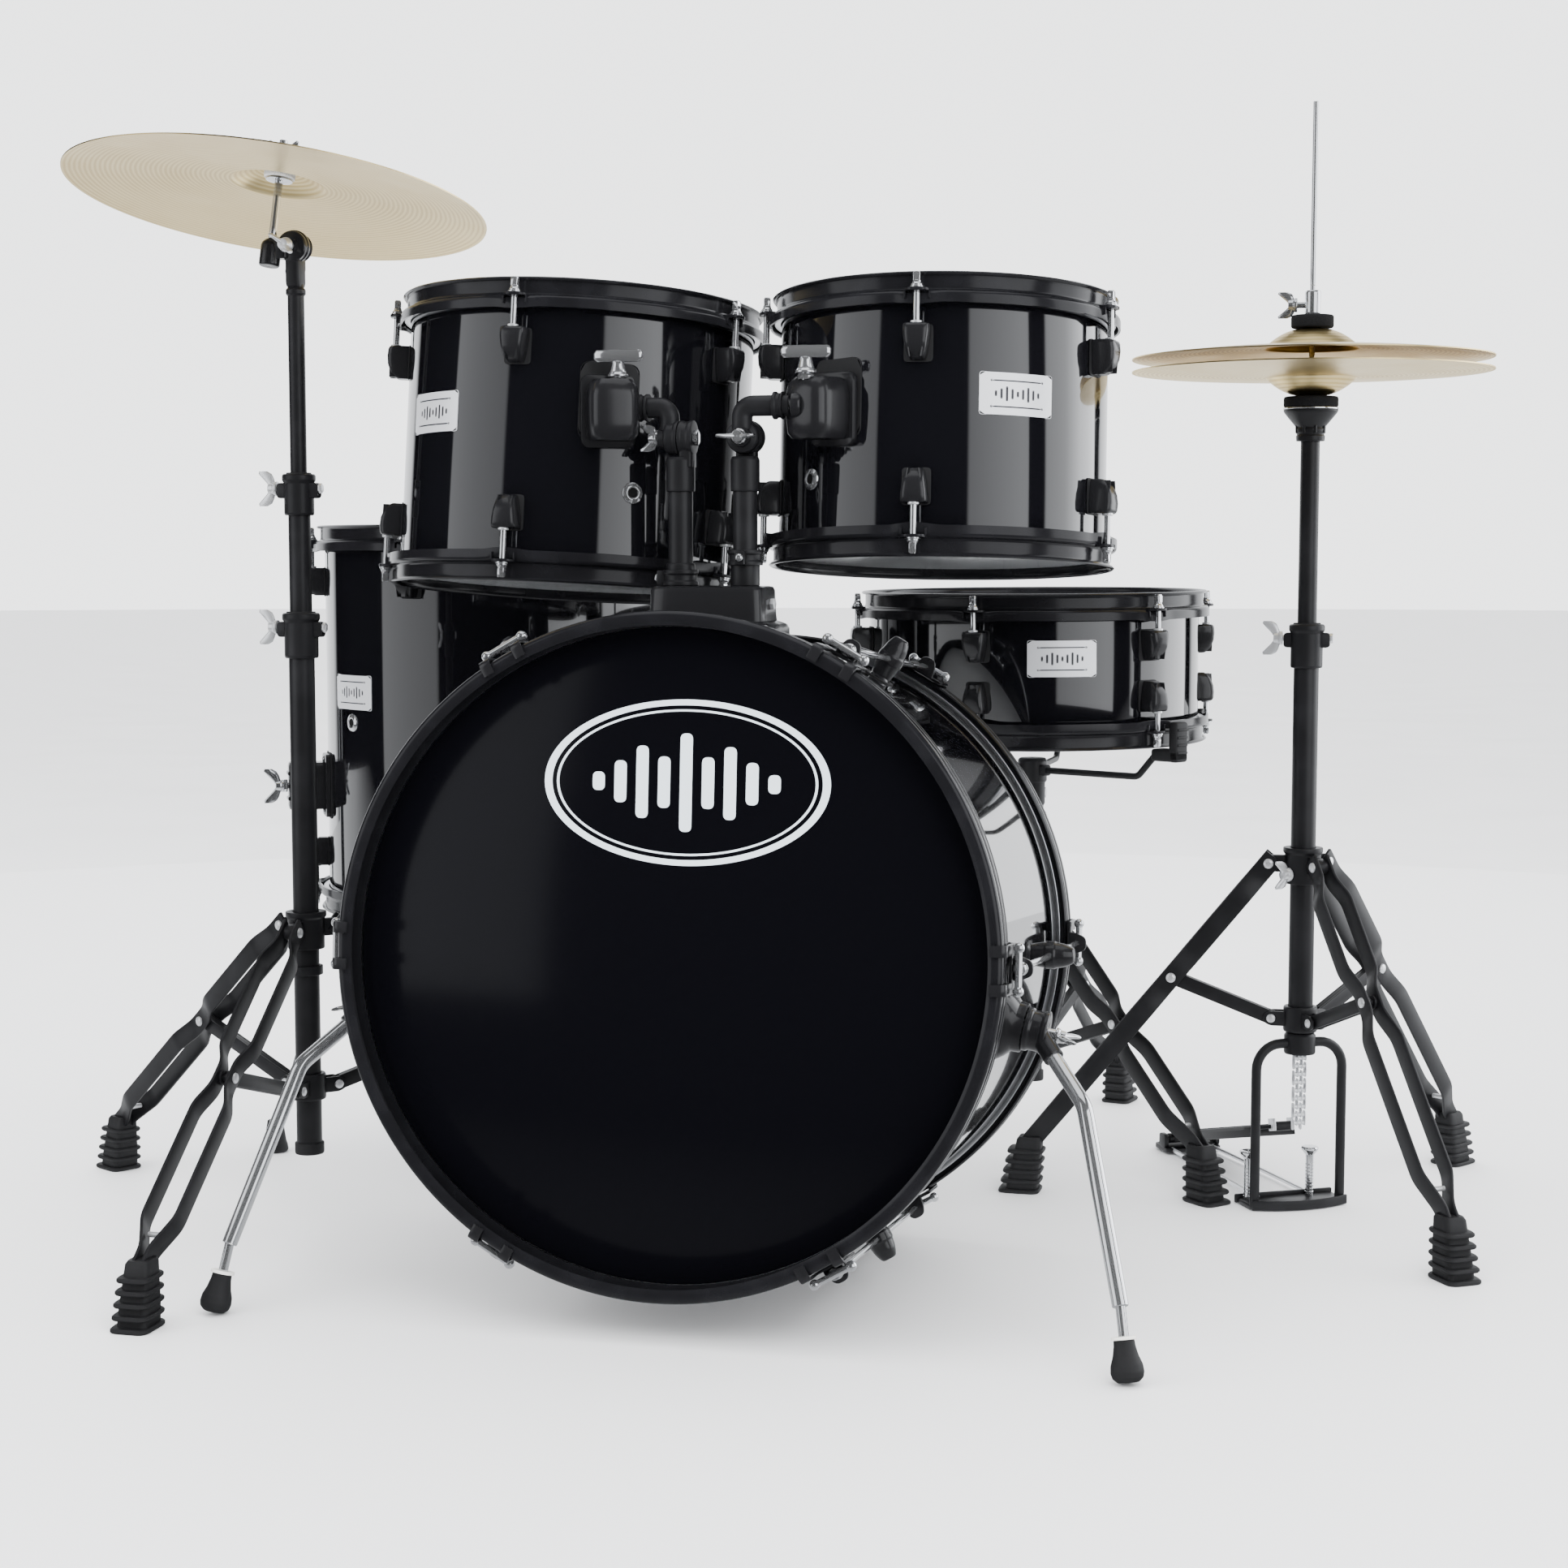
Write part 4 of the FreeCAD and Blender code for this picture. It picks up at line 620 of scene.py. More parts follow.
def hoop_shape(drum, gates=()):
    """A triple-flanged hoop: rolled lip, wall, shoulder and skirt, with an ear pressed out at each rod."""
    r, e = drum.radius, drum.depth / 2
    line = [(r + 8.2, e + LIP_RISE - 1.6), (r + 6.6, e + LIP_RISE - 0.2), (r + 4.4, e + LIP_RISE - 1.2),
            (r + 3.6, e + LIP_RISE - 3.5), (r + 3.6, e - 3.8), (r + 4.8, e - 6.4), (r + 8.6, e - 7.2),
            (r + 10.0, e - 9.2), (r + 10.0, e - 17)]
    profile = ribbon(soften(line, 2.0, 3, False), 2.2)
    count, points = 240, []
    for k in range(count):
        degrees = 360 * k / count
        near = min(abs((degrees - a + 180) % 360 - 180) for a in drum.lug_angles)
        swell = max(0.0, 1 - (near / 8.5) ** 2) ** 2
        gate = any(abs((degrees - g + 180) % 360 - 180) < 5.2 for g in gates)
        a = math.radians(degrees)
        for p in profile:
            radius, z = p.x, p.y
            skirt = max(0.0, min(1.0, (e - 6.8 - z) / 4.0)) * (1 if radius > r + 6 else 0)
            radius += 3.4 * swell * skirt
            if z < e - 10:
                z += (z - (e - 10)) * 0.28 * swell
                if gate:
                    z = max(z, e - 11.2)
            points.append((radius * math.cos(a), radius * math.sin(a), z))
    hoop = ring_skin(points, count)
    for angle in drum.lug_angles:
        outline = soften([(r + 7, -12), (r + 15, -11.5), (r + 21.5, -6.5), (r + 21.5, 6.5), (r + 15, 11.5),
                (r + 7, 12)], 5, 5)
        hoop.join(prism(outline, 2.6, 0.5), turn_z(angle) @ at((0, 0, e - 8.1)))
        for y in (-11, 11):
            hoop.join(rbox(7, 2.0, 7, 0.8), turn_z(angle) @ at((r + 11.5, y, e - 11)))
    return hoop


def lug_shape(deep=22.0, wide=24.0, tall=31.0):
    """A cast lug: broad at the mouth, waisted, with a rounded tail; X is outward, -Z away from the rod."""
    rings = []
    for t, d, w in ((0.0, 0.84, 0.90), (0.03, 0.92, 0.98), (0.10, 0.97, 1.0), (0.30, 1.0, 0.97),
            (0.55, 0.97, 0.88), (0.80, 0.84, 0.76), (0.94, 0.66, 0.64), (1.0, 0.52, 0.54)):
        half = deep * d / 2 + 1.5
        rings.append(oval(half, wide * w / 2, -tall * t, 4.2, 40, half - 3.0))
    body = loft(rings[::-1])
    for y in (-1, 1):
        body.join(loft([oval(deep * 0.42, 1.2, -tall * t, 3, 20, deep * 0.46, y * wide * s)
                for t, s in ((0.96, 0.20), (0.5, 0.30), (0.06, 0.35))]))
    return body


def lug_gasket(wide=24.0, tall=31.0):
    outline = soften([(-wide / 2 - 1, -tall - 1), (wide / 2 + 1, -tall - 1), (wide / 2 + 1, 1),
            (-wide / 2 - 1, 1)], 4, 4)
    return prism(outline, 1.2, 0.3)


def lug_pieces(name, drum):
    r, e = drum.radius, drum.depth / 2
    near = e - drum.lug_drop
    where = drum_place(drum)
    lugs, swivels, rods, gaskets = Shape(), Shape(), Shape(), Shape()
    for angle in drum.lug_angles:
        for side in (1, -1):
            flip = turn_z(angle) @ (SAME if side > 0 else MIRROR_Z)
            lugs.join(lug_shape(), flip @ at((r + 0.5, 0, near)))
            gaskets.join(lug_gasket(), flip @ at((r - 0.2, 0, near), X_AXIS, Y_AXIS))
            swivels.join(rod(5.0, 2.2, 0.5), flip @ at((r + ROD_RING, 0, near - 0.4)))
            seat = e - 5.5
            rods.join(rod(2.9, seat - near + 12, 0.3, 20), flip @ at((r + ROD_RING, 0, near - 12)))
            top = flip @ at((r + ROD_RING, 0, seat))
            rods.join(rod(6.2, 1.5, 0.4, 28), top)
            rods.join(lathe([(0, 1.4), (5.2, 1.4), (5.2, 3.0), (3.9, 4.6), (3.6, 6.6), (0, 6.6)], 24, 0.4), top)
            rods.join(square_head(), top @ at((0, 0, 6.2)))
    piece(name + "_lug_bodies", lugs, name, CASTING, where, [name + "_lugs_and_rods"])
    piece(name + "_lug_gaskets", gaskets, name, RUBBER, where)
    piece(name + "_swivel_nuts", swivels, name, STEEL, where)
    piece(name + "_rods", rods, name, CHROME, where, slot="chrome")


def make_drum(name, drum, gates=()):
    shell_pieces(name, drum)
    badge_pieces(name, drum)
    head_pieces(name, drum)
    where = drum_place(drum)
    piece(name + "_top_hoop", hoop_shape(drum), name, HOOP_BLACK, where, [name + "_hoops"])
    flipped = drum._replace(lug_angles=[-a for a in drum.lug_angles])
    piece(name + "_bottom_hoop", hoop_shape(flipped, [-g for g in gates]), name, HOOP_BLACK, where @ OVER,
            slot="black_hoop")
    lug_pieces(name, drum)


# ---- bass drum --------------------
BASS_RADIUS = 279.4
BASS_HALF = 178.0
BASS_FRONT = Vector((0, 0, 329))
BASS_REAR = Vector((0, 410, 295))
BASS_AXIS = (BASS_FRONT - BASS_REAR).normalized()
BASS_CENTRE = (BASS_FRONT + BASS_REAR) * 0.5
BASS_ROD_RING = 303.0
HOOP_RADIUS = 293.5
BASS_ANGLES = [60 * k for k in range(6)]
BASS_PLACE = at(BASS_CENTRE, BASS_AXIS, X_AXIS)


def bass_point(radius, degrees, y):
    lift = BASS_FRONT.z + (BASS_REAR.z - BASS_FRONT.z) * y / BASS_REAR.y
    a = math.radians(degrees)
    return Vector((radius * math.cos(a), y, lift + radius * math.sin(a)))


def bass_hoop_shape():
    """A pressed hoop with a rolled lip and two beads."""
    e, out = BASS_HALF, HOOP_RADIUS
    line = [(out - 12.5, e + 25.6), (out - 9, e + 27), (out - 4, e + 27), (out - 0.9, e + 24),
            (out - 0.9, e + 17.5), (out - 2.6, e + 15.5), (out - 2.6, e + 12.0), (out - 0.9, e + 10),
            (out - 0.9, e + 3.5), (out - 2.6, e + 1.5), (out - 2.6, e + 0.5), (out - 0.9, e - 1.0),
            (out - 0.9, e - 3.5), (out - 2.6, e - 5.4)]
    return lathe(ribbon(soften(line, 1.6, 3, False), 1.6), 192)


def olive_lug():
    """A turned olive with a raised middle band, standing outward from the shell along Z."""
    line = [(0, -21), (8.0, -21), (9.2, -19), (10.6, -12), (11.6, -5), (12.6, -3.6), (12.6, 3.6), (11.6, 5),
            (10.4, 12), (8.6, 17), (7.0, 20), (5.6, 21), (0, 21)]
    return lathe(line, 48, 1.4)


def claw_shape():
    """A two-pronged claw: a saddle over the hoop, two fingers over its lip and the ear for the rod."""
    e, out = BASS_HALF, HOOP_RADIUS
    claw = Shape()
    for y in (-16, 16):
        line = [(out + 2.2, e - 12.5), (out + 2.2, e + 27.8), (out - 1, e + 30.4), (out - 11.0, e + 30.4)]
        band = soften(line, 5, 5, False)
        claw.join(prism(ribbon(band, 2.6), 10, 0.7), at((0, y + 5, 0), -Y_AXIS, X_AXIS))
    claw.join(rbox(2.8, 42, 15, 1.0), at((out + 2.2, 0, e - 5)))
    ear = soften([(out + 1.0, -11), (out + 9, -10), (out + 19, -6), (out + 19, 6), (out + 9, 10),
            (out + 1.0, 11)], 5, 5)
    claw.join(prism(ear, 4, 0.8), at((0, 0, e - 13.5)))
    for y in (-8, 8):
        claw.join(rbox(9, 2.4, 10, 0.8), at((out + 6, y, e - 8)))
    return claw


def t_rod_shape():
    """A tension rod with a collar and a T handle that ends in balls."""
    e = BASS_HALF
    moved = placed(rod(3.0, e + 2, 0.3), at((0, 0, 2)))
    moved.join(lathe([(0, 0), (6.0, 0), (6.0, 2.0), (4.6, 3.2), (4.2, 7.5), (5.2, 12), (0, 12)], 28, 0.6),
            at((0, 0, e - 9.3)))
    moved.join(tube([(0, -18, e + 6), (0, 0, e + 6), (0, 18, e + 6)], 3.0, 1))
    for y in (-18, 18):
        ball = [(4.7 * math.sin(math.pi * k / 16), -4.7 * math.cos(math.pi * k / 16)) for k in range(17)]
        moved.join(lathe(ball, 24), at((0, y, e + 6), Y_AXIS))
    return moved


def make_bass():
    """Shell, heads, hoops, lugs, claws and T-handled rods of the bass drum."""
    body, r, e = "kit_base", BASS_RADIUS, BASS_HALF
    skin = lathe([(r - 1.6, 0.1 - e), (r, 2.5 - e), (r, 6.0 - e), (r + 3.2, 7.5 - e), (r + 3.2, e - 7.5),
            (r, e - 6.0), (r, e - 2.5), (r - 1.6, e - 0.1), (r - 2.2, e - 2), (r - 2.2, 2 - e)], 192)
    piece("bass_skin", skin, body, LACQUER, BASS_PLACE, ["bass_drum_shell"])
    ply = lathe([(r - 1.7, -e), (r - 7, 5 - e), (r - 7, e - 5), (r - 1.7, e), (r - 2.3, e - 2),
            (r - 2.3, 2 - e)], 160)
    piece("bass_plies", ply, body, WOOD, BASS_PLACE)
    for side, label, film in ((1, "front", BLACK_FILM), (-1, "rear", COATED_FILM)):
        flip = SAME if side > 0 else OVER
        head = lathe([(0, e + 0.1), (0, e + 0.4), (r - 0.6, e + 0.4), (r + 1.4, e - 1.0), (r + 1.4, e - 1.4),
                (r - 1.0, e + 0.1)], 192)
        node = ["bass_drum_heads"] if side > 0 else []
        piece("bass_%s_film" % label, head, body, film, BASS_PLACE @ flip, node, "bass_film")
        ring = lathe([(r + 0.8, e - 5.2), (r + 7.5, e - 5.2), (r + 7.5, e - 1.4), (r + 0.8, e - 1.4)], 160, 1.2)
        piece("bass_%s_flesh_ring" % label, ring, body, ALUMINIUM, BASS_PLACE @ flip)
        node = ["bass_drum_hoops"] if side > 0 else []
        piece("bass_%s_hoop" % label, bass_hoop_shape(), body, HOOP_BLACK, BASS_PLACE @ flip, node)
        web = lathe([(r + 7.8, e - 1.2), (HOOP_RADIUS - 2.6, e - 1.2), (HOOP_RADIUS - 2.6, e + 1.0),
                (r + 2, e + 1.0), (r + 2, e + 0.2), (r + 7.8, e + 0.2)], 160)
        piece("bass_%s_hoop_web" % label, web, body, HOOP_BLACK, BASS_PLACE @ flip)
    lugs, feet, claws, rods, pads = Shape(), Shape(), Shape(), Shape(), Shape()
    for angle in BASS_ANGLES:
        turn = turn_z(angle)
        lugs.join(olive_lug(), turn @ at((BASS_ROD_RING, 0, 0), X_AXIS, UP))
        foot = loft([oval(15, 11, 0, 3, 36), oval(14, 10.4, 3.0, 3, 36), oval(10, 9, 5.0, 2.4, 36),
                oval(8.6, 8.6, 8, 2, 36)])
        feet.join(foot, turn @ at((r + 0.4, 0, 0), X_AXIS, UP))
        pads.join(prism(tile(17, 12, 8, 5), 1.2, 0.3), turn @ at((r + 3.0, 0, 0), X_AXIS, UP))
        for side in (1, -1):
            flip = turn @ (SAME if side > 0 else MIRROR_Z)
            claws.join(claw_shape(), flip)
            rods.join(t_rod_shape(), flip @ at((BASS_ROD_RING, 0, 0)))
    piece("bass_lug_olives", [lugs, feet], body, CASTING, BASS_PLACE, ["bass_drum_lugs"])
    piece("bass_lug_pads", pads, body, RUBBER, BASS_PLACE)
    piece("bass_claw_hooks", claws, body, CASTING, BASS_PLACE, ["bass_drum_claws_and_rods"])
    piece("bass_t_handles", rods, body, CHROME, BASS_PLACE)
    make_emblem()


def ellipse_band(x, y, wide, tall, count=144):
    """A flat elliptical ring, wide across its ends and tall across its top and bottom."""
    points = []
    for c, d in circle(count):
        points += [(x * c, y * d, 0), (x * c, y * d, INK), ((x - wide) * c, (y - tall) * d, INK),
                ((x - wide) * c, (y - tall) * d, 0)]
    return ring_skin(points, count)


def make_emblem():
    """A plain oval with a row of bars of different heights, printed on the front head."""
    place = BASS_PLACE @ at((13, 148, BASS_HALF + 0.42))
    shapes = [ellipse_band(127, 71, 7, 5), ellipse_band(116, 62.5, 2.2, 1.8)]
    for k, tall in enumerate((16, 36, 62, 44, 84, 44, 62, 36, 16)):
        bar = tile(5.5, tall / 2, 5.2, 6)
        shapes.append(placed(prism(bar, INK, 0), at(((k - 4) * 19.5, 0, 0))))
    piece("front_emblem", shapes, "kit_base", EMBLEM, place)


# ---- spurs, tom mount and tom holders --------------------
MOUNT_Y, MOUNT_TOP, POST_X = 172.0, 640.0, 30.0
ARM_Z, TILTER_Z, ARM_SET, BRACKET_Z = 799.0, 772.0, 10.0, 797.0
SPUR_DROP = 11    # degrees by which the spurs' bolts point below level
TILTER_AXES = {1: Vector((0, -1, 0)), -1: Vector((-1, 0, 0))}


def make_spur(hand, side):
    """One folding spur: boss, bolt, geared hub, bent rod and rubber foot."""
    body = side + "_spur"
    tilt = math.radians(SPUR_DROP)
    axis = Vector((hand * math.cos(tilt), 0, -math.sin(tilt)))
    start = bass_point(0, 0, 110)
    boss = at(start + axis * (BASS_RADIUS - 1.5), axis, UP)
    base = loft([oval(31, 27, 0, 3, 48), oval(31, 27, 4, 3, 48), oval(27, 23.5, 10, 2.6, 48),
            oval(22, 21, 15, 2.1, 48), oval(21.5, 21.5, 22.3, 2, 48)])
    teeth = Shape()
    for k in range(24):
        teeth.join(rbox(3.0, 1.6, 1.4, 0.3), turn_z(15 * k) @ at((19, 0, 21.9)))
    piece(side + "_spur_boss", [base, teeth], "kit_base", CASTING, boss, ["spur_brackets"] if hand > 0 else [])
    piece(side + "_spur_bolt", rod(5, 55, 0.6), "kit_base", CHROME, at(start + axis * (BASS_RADIUS - 7), axis))
    piece(side + "_spur_wing", wing_nut(34), "kit_base", CHROME, at(start + axis * (BASS_RADIUS + 48), axis,
            axis.cross(UP)))
    hub_at = start + axis * (BASS_RADIUS + 21 + 0.3)
    hub = lathe([(5.3, 0), (19, 0), (19, 4), (17.5, 6), (17.5, 14), (19, 16), (19, 19), (17, 20), (5.3, 20)],
            56, 0.8)
    middle = hub_at + axis * 10
    knee = Vector((hand * 354, 54, 210))
    end = Vector((hand * 401, -24, 16))
    shoulder = Vector((hand * 394, -13, 60))
    down = (knee - middle).normalized()
    leg = tube([middle + down * 12, knee, shoulder], 6.8, 30, 28)
    socket = tube([middle + down * 8, middle + down * 34], 9.0, 1, 28)
    tip = tube([shoulder - (end - shoulder).normalized() * 3, end], 4.2, 1, 20)
    piece(side + "_spur_rod", [leg, tip], body, CHROME, None, ["spur_" + side])
    piece(side + "_spur_hub", [placed(hub, at(hub_at, axis, UP)), socket], body, CASTING)
    lean = Vector((hand * -0.16, 0.25, 1)).normalized()
    foot = Vector((hand * 403, -28, 9 * math.hypot(lean.x, lean.y)))
    rubber = lathe([(0, 0), (8.6, 0), (12.6, 3.4), (13.8, 8), (13.2, 14), (10.6, 21), (8.9, 29), (8.5, 34),
            (0, 34)], 40, 1.0)
    piece(side + "_spur_rubber", rubber, body, RUBBER, at(foot, lean))
    washer = lathe([(4.6, 34), (10.5, 34), (10.5, 36.6), (4.6, 36.6)], 36, 0.5)
    piece(side + "_spur_washer", washer, body, NYLON, at(foot, lean))


def make_mount():
    """The block that carries both posts: rounded top, stepped foot, and the clamp screws on its sides."""
    z = MOUNT_TOP
    body = Shape()
    rings = [oval(64, 43, z - 66, 7, 64), oval(64, 43, z - 38, 7, 64), oval(62, 41, z - 34, 6, 64),
            oval(54.5, 33, z - 31, 6, 64), oval(54, 32, z - 26, 6, 64), oval(53, 31, z - 4, 6, 64),
            oval(51.5, 29.5, z - 1, 6, 64), oval(48, 26, z, 6, 64)]
    body.join(loft(rings), at((0, MOUNT_Y, 0)))
    for x in (-POST_X, POST_X):
        ring = lathe([(11.6, 0), (17, 0), (17, 1.6), (15.5, 2.4), (11.6, 2.4)], 48, 0.4)
        body.join(ring, at((x, MOUNT_Y, z - 2.2)))
    piece("tom_mount_body", body, "kit_base", CASTING, None, ["tom_mount_block"])
    holes = Shape()
    for x in (-POST_X, POST_X):
        holes.join(rod(11.5, 0.7, 0.1, 40), at((x, MOUNT_Y, z - 0.5)))
    screws = Shape()
    for x in (-44, 44):
        for y in (-26, 26):
            screws.join(screw_head(4.2, 2.4), at((x * 1.28, MOUNT_Y + y * 1.36, z - 36.5)))
    for x in (-1, 1):
        screws.join(hex_nut(5.5, 4), at((x * 57.5 * 0.93, MOUNT_Y, z - 16), (x, 0, 0)))
    piece("tom_mount_screws", screws, "kit_base", STEEL)
    pad = Shape()
    for k in range(-6, 6):
        a = math.radians(90 + 13.6 * k / 6)
        b = math.radians(90 + 13.6 * (k + 1) / 6)
        quad = []
        for angle in (a, b):
            for r in (BASS_RADIUS - 0.3, BASS_RADIUS + 2.0):
                for y in (MOUNT_Y - 45, MOUNT_Y + 45):
                    quad.append(bass_point(r, math.degrees(angle), y))
        pad.add(quad, [[0, 1, 3, 2], [4, 6, 7, 5], [0, 4, 5, 1], [2, 3, 7, 6], [0, 2, 6, 4], [1, 5, 7, 3]])
    piece("tom_mount_pad", pad, "kit_base", RUBBER, None, angle=60)


def make_tom_holder(hand, side, drum, name):
    """The post, the geared tilter, the arm and the bracket that carry one tom."""
    centre = Vector((hand * POST_X, MOUNT_Y, TILTER_Z))
    axis = TILTER_AXES[hand]
    body = side + "_post"
    foot = Vector((hand * POST_X, MOUNT_Y, 0))
    lock = MOUNT_TOP + 0.3 + (18 if hand > 0 else 0)
    post = placed(rod(11, 230, 0.6, 40), at(foot + UP * 498))
    post.join(lathe([(11, 0), (13, 0), (13, 18), (12.4, 20), (11, 20)], 40, 0.6),
            at(foot + UP * (MOUNT_TOP + 0.3)))
    post.join(lathe([(11, 0), (15.8, 0), (15.8, 3.5), (14.6, 4.5), (14.6, 9.5), (15.8, 10.5), (15.8, 14),
            (11, 14)], 48, 0.6), at(foot + UP * lock))
    post.join(rbox(9, 9, 13, 1.2), at(foot + UP * (lock + 7) + axis * 17, UP, axis))
    post.join(lathe([(11, 0), (12.8, 0), (13, 3), (13, 28), (11.6, 31), (6, 31)], 44, 0.8), at(foot + UP * 724))
    cheek = ovals(5, 36, (9.5, 6.3, -26), (9.5, 6.3, -10), (11, 6.2, 0))
    across = axis.cross(UP)
    post.join(cheek, at(centre - axis * 6.5, UP, across))
    post.join(lathe([(4, 0), (15.5, 0), (15.5, 3), (14.6, 4.5), (14.6, 8.5), (15.5, 10), (15.5, 12.2),
            (4, 12.2)], 56, 0.5), at(centre - axis * 12.8, axis, UP))
    for k in range(28):
        post.join(rbox(2.4, 1.5, 1.1, 0.25), at(centre - axis * 0.75, axis, UP) @ turn_z(360 / 28 * k)
                @ at((13.8, 0, 0)))
    piece(side + "_post_tube", post, body, POWDER, None, [side + "_tom_post"])
    bright = placed(rod(4, 35.7, 0.4), at(centre - axis * 16, axis))
    bright.join(hex_nut(7, 4), at(centre - axis * 16.8, axis, UP))
    bright.join(wing_nut(34 if hand > 0 else 24, 0.15), at(centre + axis * 20, axis,
            X_AXIS if hand > 0 else UP))
    bright.join(screw_head(3.6, 3), at(foot + UP * (lock + 7) + axis * 21.5, axis))
    piece(side + "_post_nuts", bright, body, CHROME)
    # arm
    line = centre + axis * ARM_SET + UP * (ARM_Z - TILTER_Z)
    body = side + "_arm"
    arm = placed(lathe([(4.3, 0), (15.5, 0), (15.5, 2.5), (14.6, 4), (14.6, 10), (13.5, 12), (9.4, 13.6),
            (9, 19.2), (4.3, 19.2)], 56, 0.5), at(centre + axis * 0.3, axis, UP))
    step = Vector((hand * 74, line.y, ARM_Z))
    arm.join(tube([centre + axis * ARM_SET + UP * 6, Vector((line.x, line.y, ARM_Z)), step], 9.2, 13, 32))
    arm.join(lathe([(6, 0), (12.3, 0), (12.3, 2.5), (11, 3.6), (11, 6.4), (12.3, 7.5), (12.3, 9), (6, 9)], 44,
            0.5), at(step - X_AXIS * hand * 15, X_AXIS * hand))
    piece(side + "_arm_elbow", arm, body, POWDER, None, [side + "_tom_arm"])
    level = placed(rod(6, 36, 0.6, 32), at(step - X_AXIS * hand * 2, X_AXIS * hand))
    piece(side + "_arm_rod", level, body, CHROME)
    # bracket on the tom
    place = at((drum.centre.x, drum.centre.y, BRACKET_Z), UP, polar(1, drum.bracket))
    r = drum.radius
    bracket = Shape()
    core = [oval(22, 19, -27, 3.2, 48), oval(25, 22.2, -22, 3.4, 48), oval(26, 23, -8, 3.6, 48),
            oval(26, 23, 12, 3.6, 48), oval(24.4, 21.6, 22, 3.4, 48), oval(20, 17.5, 27, 3.0, 48)]
    bracket.join(loft(core), at((r + 24, 0, 0)))
    bracket.join(prism(tile(25, 33, 9, 5), 7, 1.2), at((r - 0.6, 0, 0), X_AXIS, Y_AXIS))
    piece(name + "_bracket_body", bracket, name, CASTING, place, [name + "_bracket"])
    pad = curved_plate(r - 0.2, drum.bracket, BRACKET_Z - drum.centre.z, 55, 71, 1.4, 10)
    piece(name + "_bracket_gasket", pad, name, RUBBER, drum_place(drum))
    bolt_at = Vector((hand * 88, line.y, ARM_Z + 7))
    tee = placed(rod(4, 34, 0.4), at(bolt_at))
    tee.join(lathe([(4, 0), (9.5, 0), (9.5, 2), (7.5, 4), (6, 10), (5, 14), (4, 14)], 32, 0.8),
            at(bolt_at + UP * 21))
    bar = loft([oval(23 * s, 5 * t, z, 3.2, 36) for s, t, z in ((0.88, 0.7, -5), (0.98, 1.0, -2.5),
            (1, 1.05, 2), (0.9, 0.8, 5.5))])
    tee.join(bar, at(bolt_at + UP * 39.5))
    tee.join(hex_nut(7.5, 5), at(bolt_at + UP * 15.5))
    piece(name + "_bracket_t_bolt", tee, name, CHROME)
    # sleeve bush where the rod enters
    bush = lathe([(6.4, 0), (11.5, 0), (11.5, 7), (10.2, 9), (6.4, 9)], 40, 0.7)
    piece(name + "_bracket_bush", bush, name, CASTING, at(Vector((hand * 76, line.y, ARM_Z)), X_AXIS * hand))


# ---- floor tom legs --------------------
LEG_ANGLES = (210.0, 330.0, 90.0)
LEG_OUT = FLOOR_TOM.radius + 34
LEG_BRACKET_Z = 412.0


def make_floor_tom_legs():
    """Three bent legs in blocks that are screwed to the floor tom's shell."""
    centre = at((FLOOR_TOM.centre.x, FLOOR_TOM.centre.y, 0))
    rods, feet, blocks, wings, plates = Shape(), Shape(), Shape(), Shape(), Shape()
    r = FLOOR_TOM.radius
    for angle in LEG_ANGLES:
        turn = centre @ turn_z(angle)
        rods.join(tube([(LEG_OUT, 0, 500), (LEG_OUT, 0, 120), (LEG_OUT + 30, 0, 22)], 4.8, 40, 24), turn)
        foot = lathe([(0, 0), (12.6, 0), (14.4, 2.5), (13.6, 8), (12.0, 13), (11.6, 16), (9.4, 30), (8.2, 36),
                (0, 36)], 40, 1.0)
        feet.join(foot, turn @ at((LEG_OUT + 32, 0, 0)))
        body = ovals(4.5, 40, (22, 13, -26), (23, 14, -22), (23, 14, 22), (22, 13, 26))
        blocks.join(body, turn @ at((r + 22, 0, LEG_BRACKET_Z)))
        for z in (-14, 0, 14):
            blocks.join(rbox(2.4, 22, 4, 1.0), turn @ at((r + 45, 0, LEG_BRACKET_Z + z)))
        blocks.join(prism(tile(20, 35, 7, 5), 6, 1.0), turn @ at((r - 0.6, 0, LEG_BRACKET_Z), X_AXIS, Y_AXIS))
        plates.join(prism(tile(22, 37, 8, 5), 1.6, 0.4), turn @ at((r - 1.4, 0, LEG_BRACKET_Z), X_AXIS, Y_AXIS))
        wings.join(rod(3.5, 15, 0.4), turn @ at((r + 44, 0, LEG_BRACKET_Z), X_AXIS))
        wings.join(hex_nut(7, 4), turn @ at((r + 46, 0, LEG_BRACKET_Z), X_AXIS, UP))
        wings.join(wing_nut(38, 0.4), turn @ at((r + 50.3, 0, LEG_BRACKET_Z), X_AXIS, UP))
        for z in (-29, 29):
            wings.join(screw_head(3.8, 2.4), turn @ at((r + 5.2, 0, LEG_BRACKET_Z + z), X_AXIS))
    piece("floor_tom_leg_rods", rods, "kit_base", CHROME, None, ["floor_tom_legs"])
    piece("floor_tom_leg_feet", feet, "kit_base", RUBBER)
    piece("floor_tom_bracket_blocks", blocks, "floor_tom", CASTING, None, ["floor_tom_leg_brackets"])
    piece("floor_tom_bracket_gaskets", plates, "floor_tom", RUBBER)
    piece("floor_tom_bracket_wings", wings, "floor_tom", CHROME)


# ---- snare fittings --------------------
STRAINER_ANGLE = 50.2


